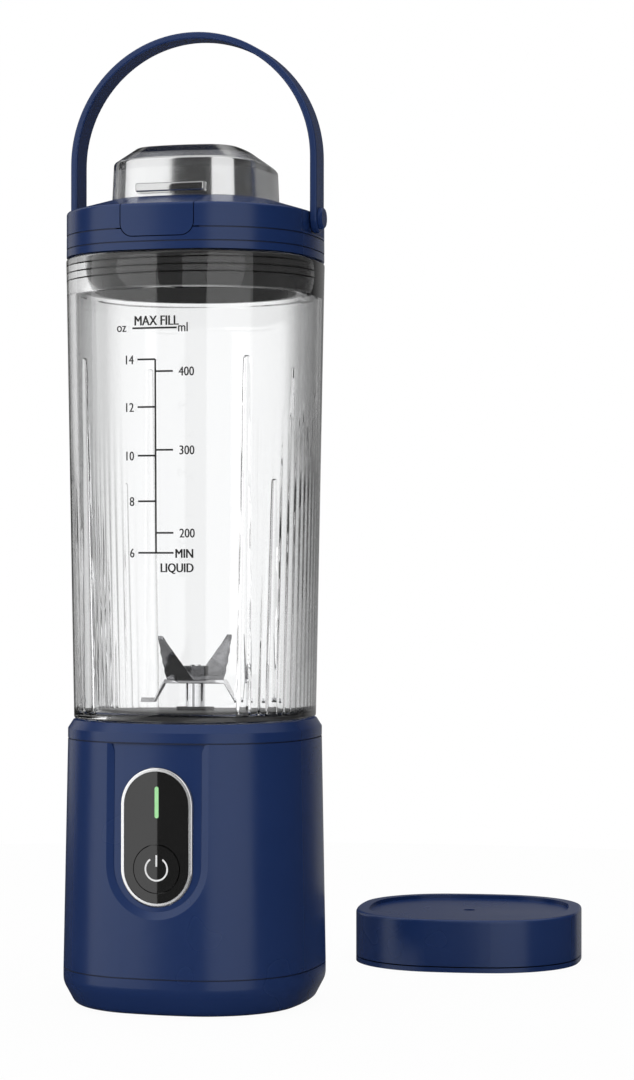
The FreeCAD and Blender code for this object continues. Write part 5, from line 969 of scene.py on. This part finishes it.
def lamp(name, azimuth, distance, height, width, tall, radiance):
    """A softbox that faces the axis, or down where it has no azimuth."""
    data = bpy.data.lights.new(name, "AREA")
    data.shape = "RECTANGLE"
    data.size = width
    data.size_y = tall
    data.energy = radiance * math.pi * width * tall
    light = bpy.data.objects.new(name, data)
    if azimuth is None:
        light.location = (0, distance, height)
        aim = Vector((0, 0, -1))
    else:
        angle = math.radians(azimuth)
        light.location = (distance * math.sin(angle), -distance * math.cos(angle), height)
        aim = Vector((-math.sin(angle), math.cos(angle), 0))
    light.rotation_mode = "QUATERNION"
    light.rotation_quaternion = aim.to_track_quat("-Z", "Y")
    light.visible_camera = False
    bpy.context.scene.collection.objects.link(light)
    return light


class SetStage(bpy.types.Operator):
    """Place the camera, the lamps, the surroundings and the floor"""
    bl_idname = "blender_part.set_stage"
    bl_label = "Set stage"

    def execute(self, context):
        place = context.scene.stage_place
        set_camera(place)
        set_lamps(place)
        set_surroundings(place)
        set_floor()
        context.scene.view_settings.view_transform = "Standard"
        return {"FINISHED"}


def set_camera(place):
    """A camera before the blender, aimed a little to the right of its axis."""
    data = bpy.data.cameras.new("camera")
    data.lens = place.lens
    data.sensor_width = 36
    data.clip_start = 0.01
    camera = bpy.data.objects.new("camera", data)
    sine, cosine = math.sin(place.azimuth), math.cos(place.azimuth)
    camera.location = (place.distance * sine, -place.distance * cosine, place.eye)
    ahead = Vector((-sine, cosine, 0))
    right = Vector((cosine, sine, 0))
    yaw, pitch = math.radians(AIM_RIGHT), math.radians(AIM_UP)
    aim = (ahead * math.cos(yaw) + right * math.sin(yaw)) * math.cos(pitch) + Vector((0, 0, math.sin(pitch)))
    camera.rotation_mode = "QUATERNION"
    tilt = Quaternion((0, 0, 1), math.radians(TILT))
    camera.rotation_quaternion = aim.to_track_quat("-Z", "Y") @ tilt
    bpy.context.scene.collection.objects.link(camera)
    bpy.context.scene.camera = camera


def set_lamps(place):
    """The softboxes that mirrors show, and the two that only light."""
    for name, (*panel, share) in SOFTBOXES.items():
        lamp(name, *panel, place.lamp * share)
    for name, (*panel, share) in FILL_SOFTBOXES.items():
        fill = lamp(name, *panel, place.lamp * share)
        fill.visible_glossy = False
        fill.visible_transmission = False


def set_surroundings(place):
    """White where they are seen directly. Through clear plastic they are white behind and greyer elsewhere,
    in a mirror dark except behind and above, and other surfaces take an even fill from them."""
    world = bpy.data.worlds.new("surroundings")
    world.use_nodes = True
    tree = world.node_tree
    ray = add(tree, "ShaderNodeLightPath").outputs
    coordinate = add(tree, "ShaderNodeTexCoord")
    split = add(tree, "ShaderNodeSeparateXYZ")
    tree.links.new(coordinate.outputs["Generated"], split.inputs[0])
    through = ranged(tree, split.outputs["Y"], *SEEN_THROUGH)
    behind = ranged(tree, split.outputs["Y"], *MIRRORED_BEHIND)
    above = ranged(tree, split.outputs["Z"], *MIRRORED_ABOVE)
    passed = combined(tree, "MULTIPLY", ray["Is Transmission Ray"], through)
    seen = combined(tree, "MAXIMUM", ray["Is Camera Ray"], passed)
    mirrored = add(tree, "ShaderNodeMix", data_type="FLOAT")
    tree.links.new(ray["Is Glossy Ray"], mirrored.inputs["Factor"])
    mirrored.inputs["A"].default_value = place.fill
    tree.links.new(combined(tree, "MAXIMUM", behind, above), mirrored.inputs["B"])
    shader = tree.nodes["Background"]
    shader.inputs["Color"].default_value = (1, 1, 1, 1)
    tree.links.new(combined(tree, "MAXIMUM", seen, mirrored.outputs["Result"]), shader.inputs["Strength"])
    bpy.context.scene.world = world


def set_floor():
    """A round pale floor that shows white where nothing shades it."""
    bm = bmesh.new()
    bmesh.ops.create_circle(bm, cap_ends=True, segments=96, radius=FLOOR_RADIUS)
    mesh = bpy.data.meshes.new("floor")
    bm.to_mesh(mesh)
    bm.free()
    material, tree, shader = new_material("pale_floor")
    shader.inputs["Roughness"].default_value = 0.9
    shader.inputs["Specular IOR Level"].default_value = 0.1
    tone = blend_colours(tree, noise(tree, 60.0), (0.93, 0.93, 0.93), (0.96, 0.96, 0.96))
    tree.links.new(tone, shader.inputs["Base Color"])
    path = add(tree, "ShaderNodeLightPath")
    share = add(tree, "ShaderNodeMath", operation="MULTIPLY")
    tree.links.new(path.outputs["Is Camera Ray"], share.inputs[0])
    share.inputs[1].default_value = FLOOR_GLOW
    layered(tree, share.outputs["Value"], shader, add(tree, "ShaderNodeEmission"))
    mesh.materials.append(material)
    floor = bpy.data.objects.new("floor", mesh)
    bpy.context.scene.collection.objects.link(floor)
    floor.visible_glossy = False
    floor.visible_transmission = False


# Panel and registration

OPERATORS = (DressShells, LaySeams, MouldJar, CutPlug, DressFlipCap, DressControls, MarkPower, GrindBlades,
             WindSpring, DressInside, PrintScale, SetStage)
GROUPS = {"shell_look": ShellLook, "jar_shape": JarShape, "blade_edges": BladeEdges,
          "spring_shape": SpringShape, "power_mark": PowerMark, "printed_scale": PrintedScale,
          "stage_place": StagePlace}


class BLENDER_PART_PT_steps(bpy.types.Panel):
    """The steps that dress the blender, and their settings"""
    bl_label = "Personal blender"
    bl_space_type = "VIEW_3D"
    bl_region_type = "UI"
    bl_category = "Blender"

    def draw(self, context):
        for operator in OPERATORS:
            self.layout.operator(operator.bl_idname)
        for name in GROUPS:
            settings = getattr(context.scene, name)
            box = self.layout.box()
            for key in settings.__annotations__:
                box.prop(settings, key)


def register():
    """Register the classes and give the scene their settings."""
    for item in (*GROUPS.values(), *OPERATORS, BLENDER_PART_PT_steps):
        bpy.utils.register_class(item)
    for name, kind in GROUPS.items():
        setattr(bpy.types.Scene, name, PointerProperty(type=kind))


def unregister():
    """Take the settings and the classes away again."""
    for name in GROUPS:
        delattr(bpy.types.Scene, name)
    for item in (BLENDER_PART_PT_steps, *reversed(OPERATORS), *reversed(GROUPS.values())):
        bpy.utils.unregister_class(item)


def main():
    """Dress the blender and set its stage."""
    register()
    bpy.ops.blender_part.dress_shells()
    bpy.ops.blender_part.lay_seams()
    bpy.ops.blender_part.mould_jar()
    bpy.ops.blender_part.cut_plug()
    bpy.ops.blender_part.dress_flip_cap()
    bpy.ops.blender_part.dress_controls()
    bpy.ops.blender_part.mark_power()
    bpy.ops.blender_part.grind_blades()
    bpy.ops.blender_part.wind_spring()
    bpy.ops.blender_part.dress_inside()
    bpy.ops.blender_part.print_scale()
    bpy.ops.blender_part.set_stage()


if __name__ == "__main__":
    main()
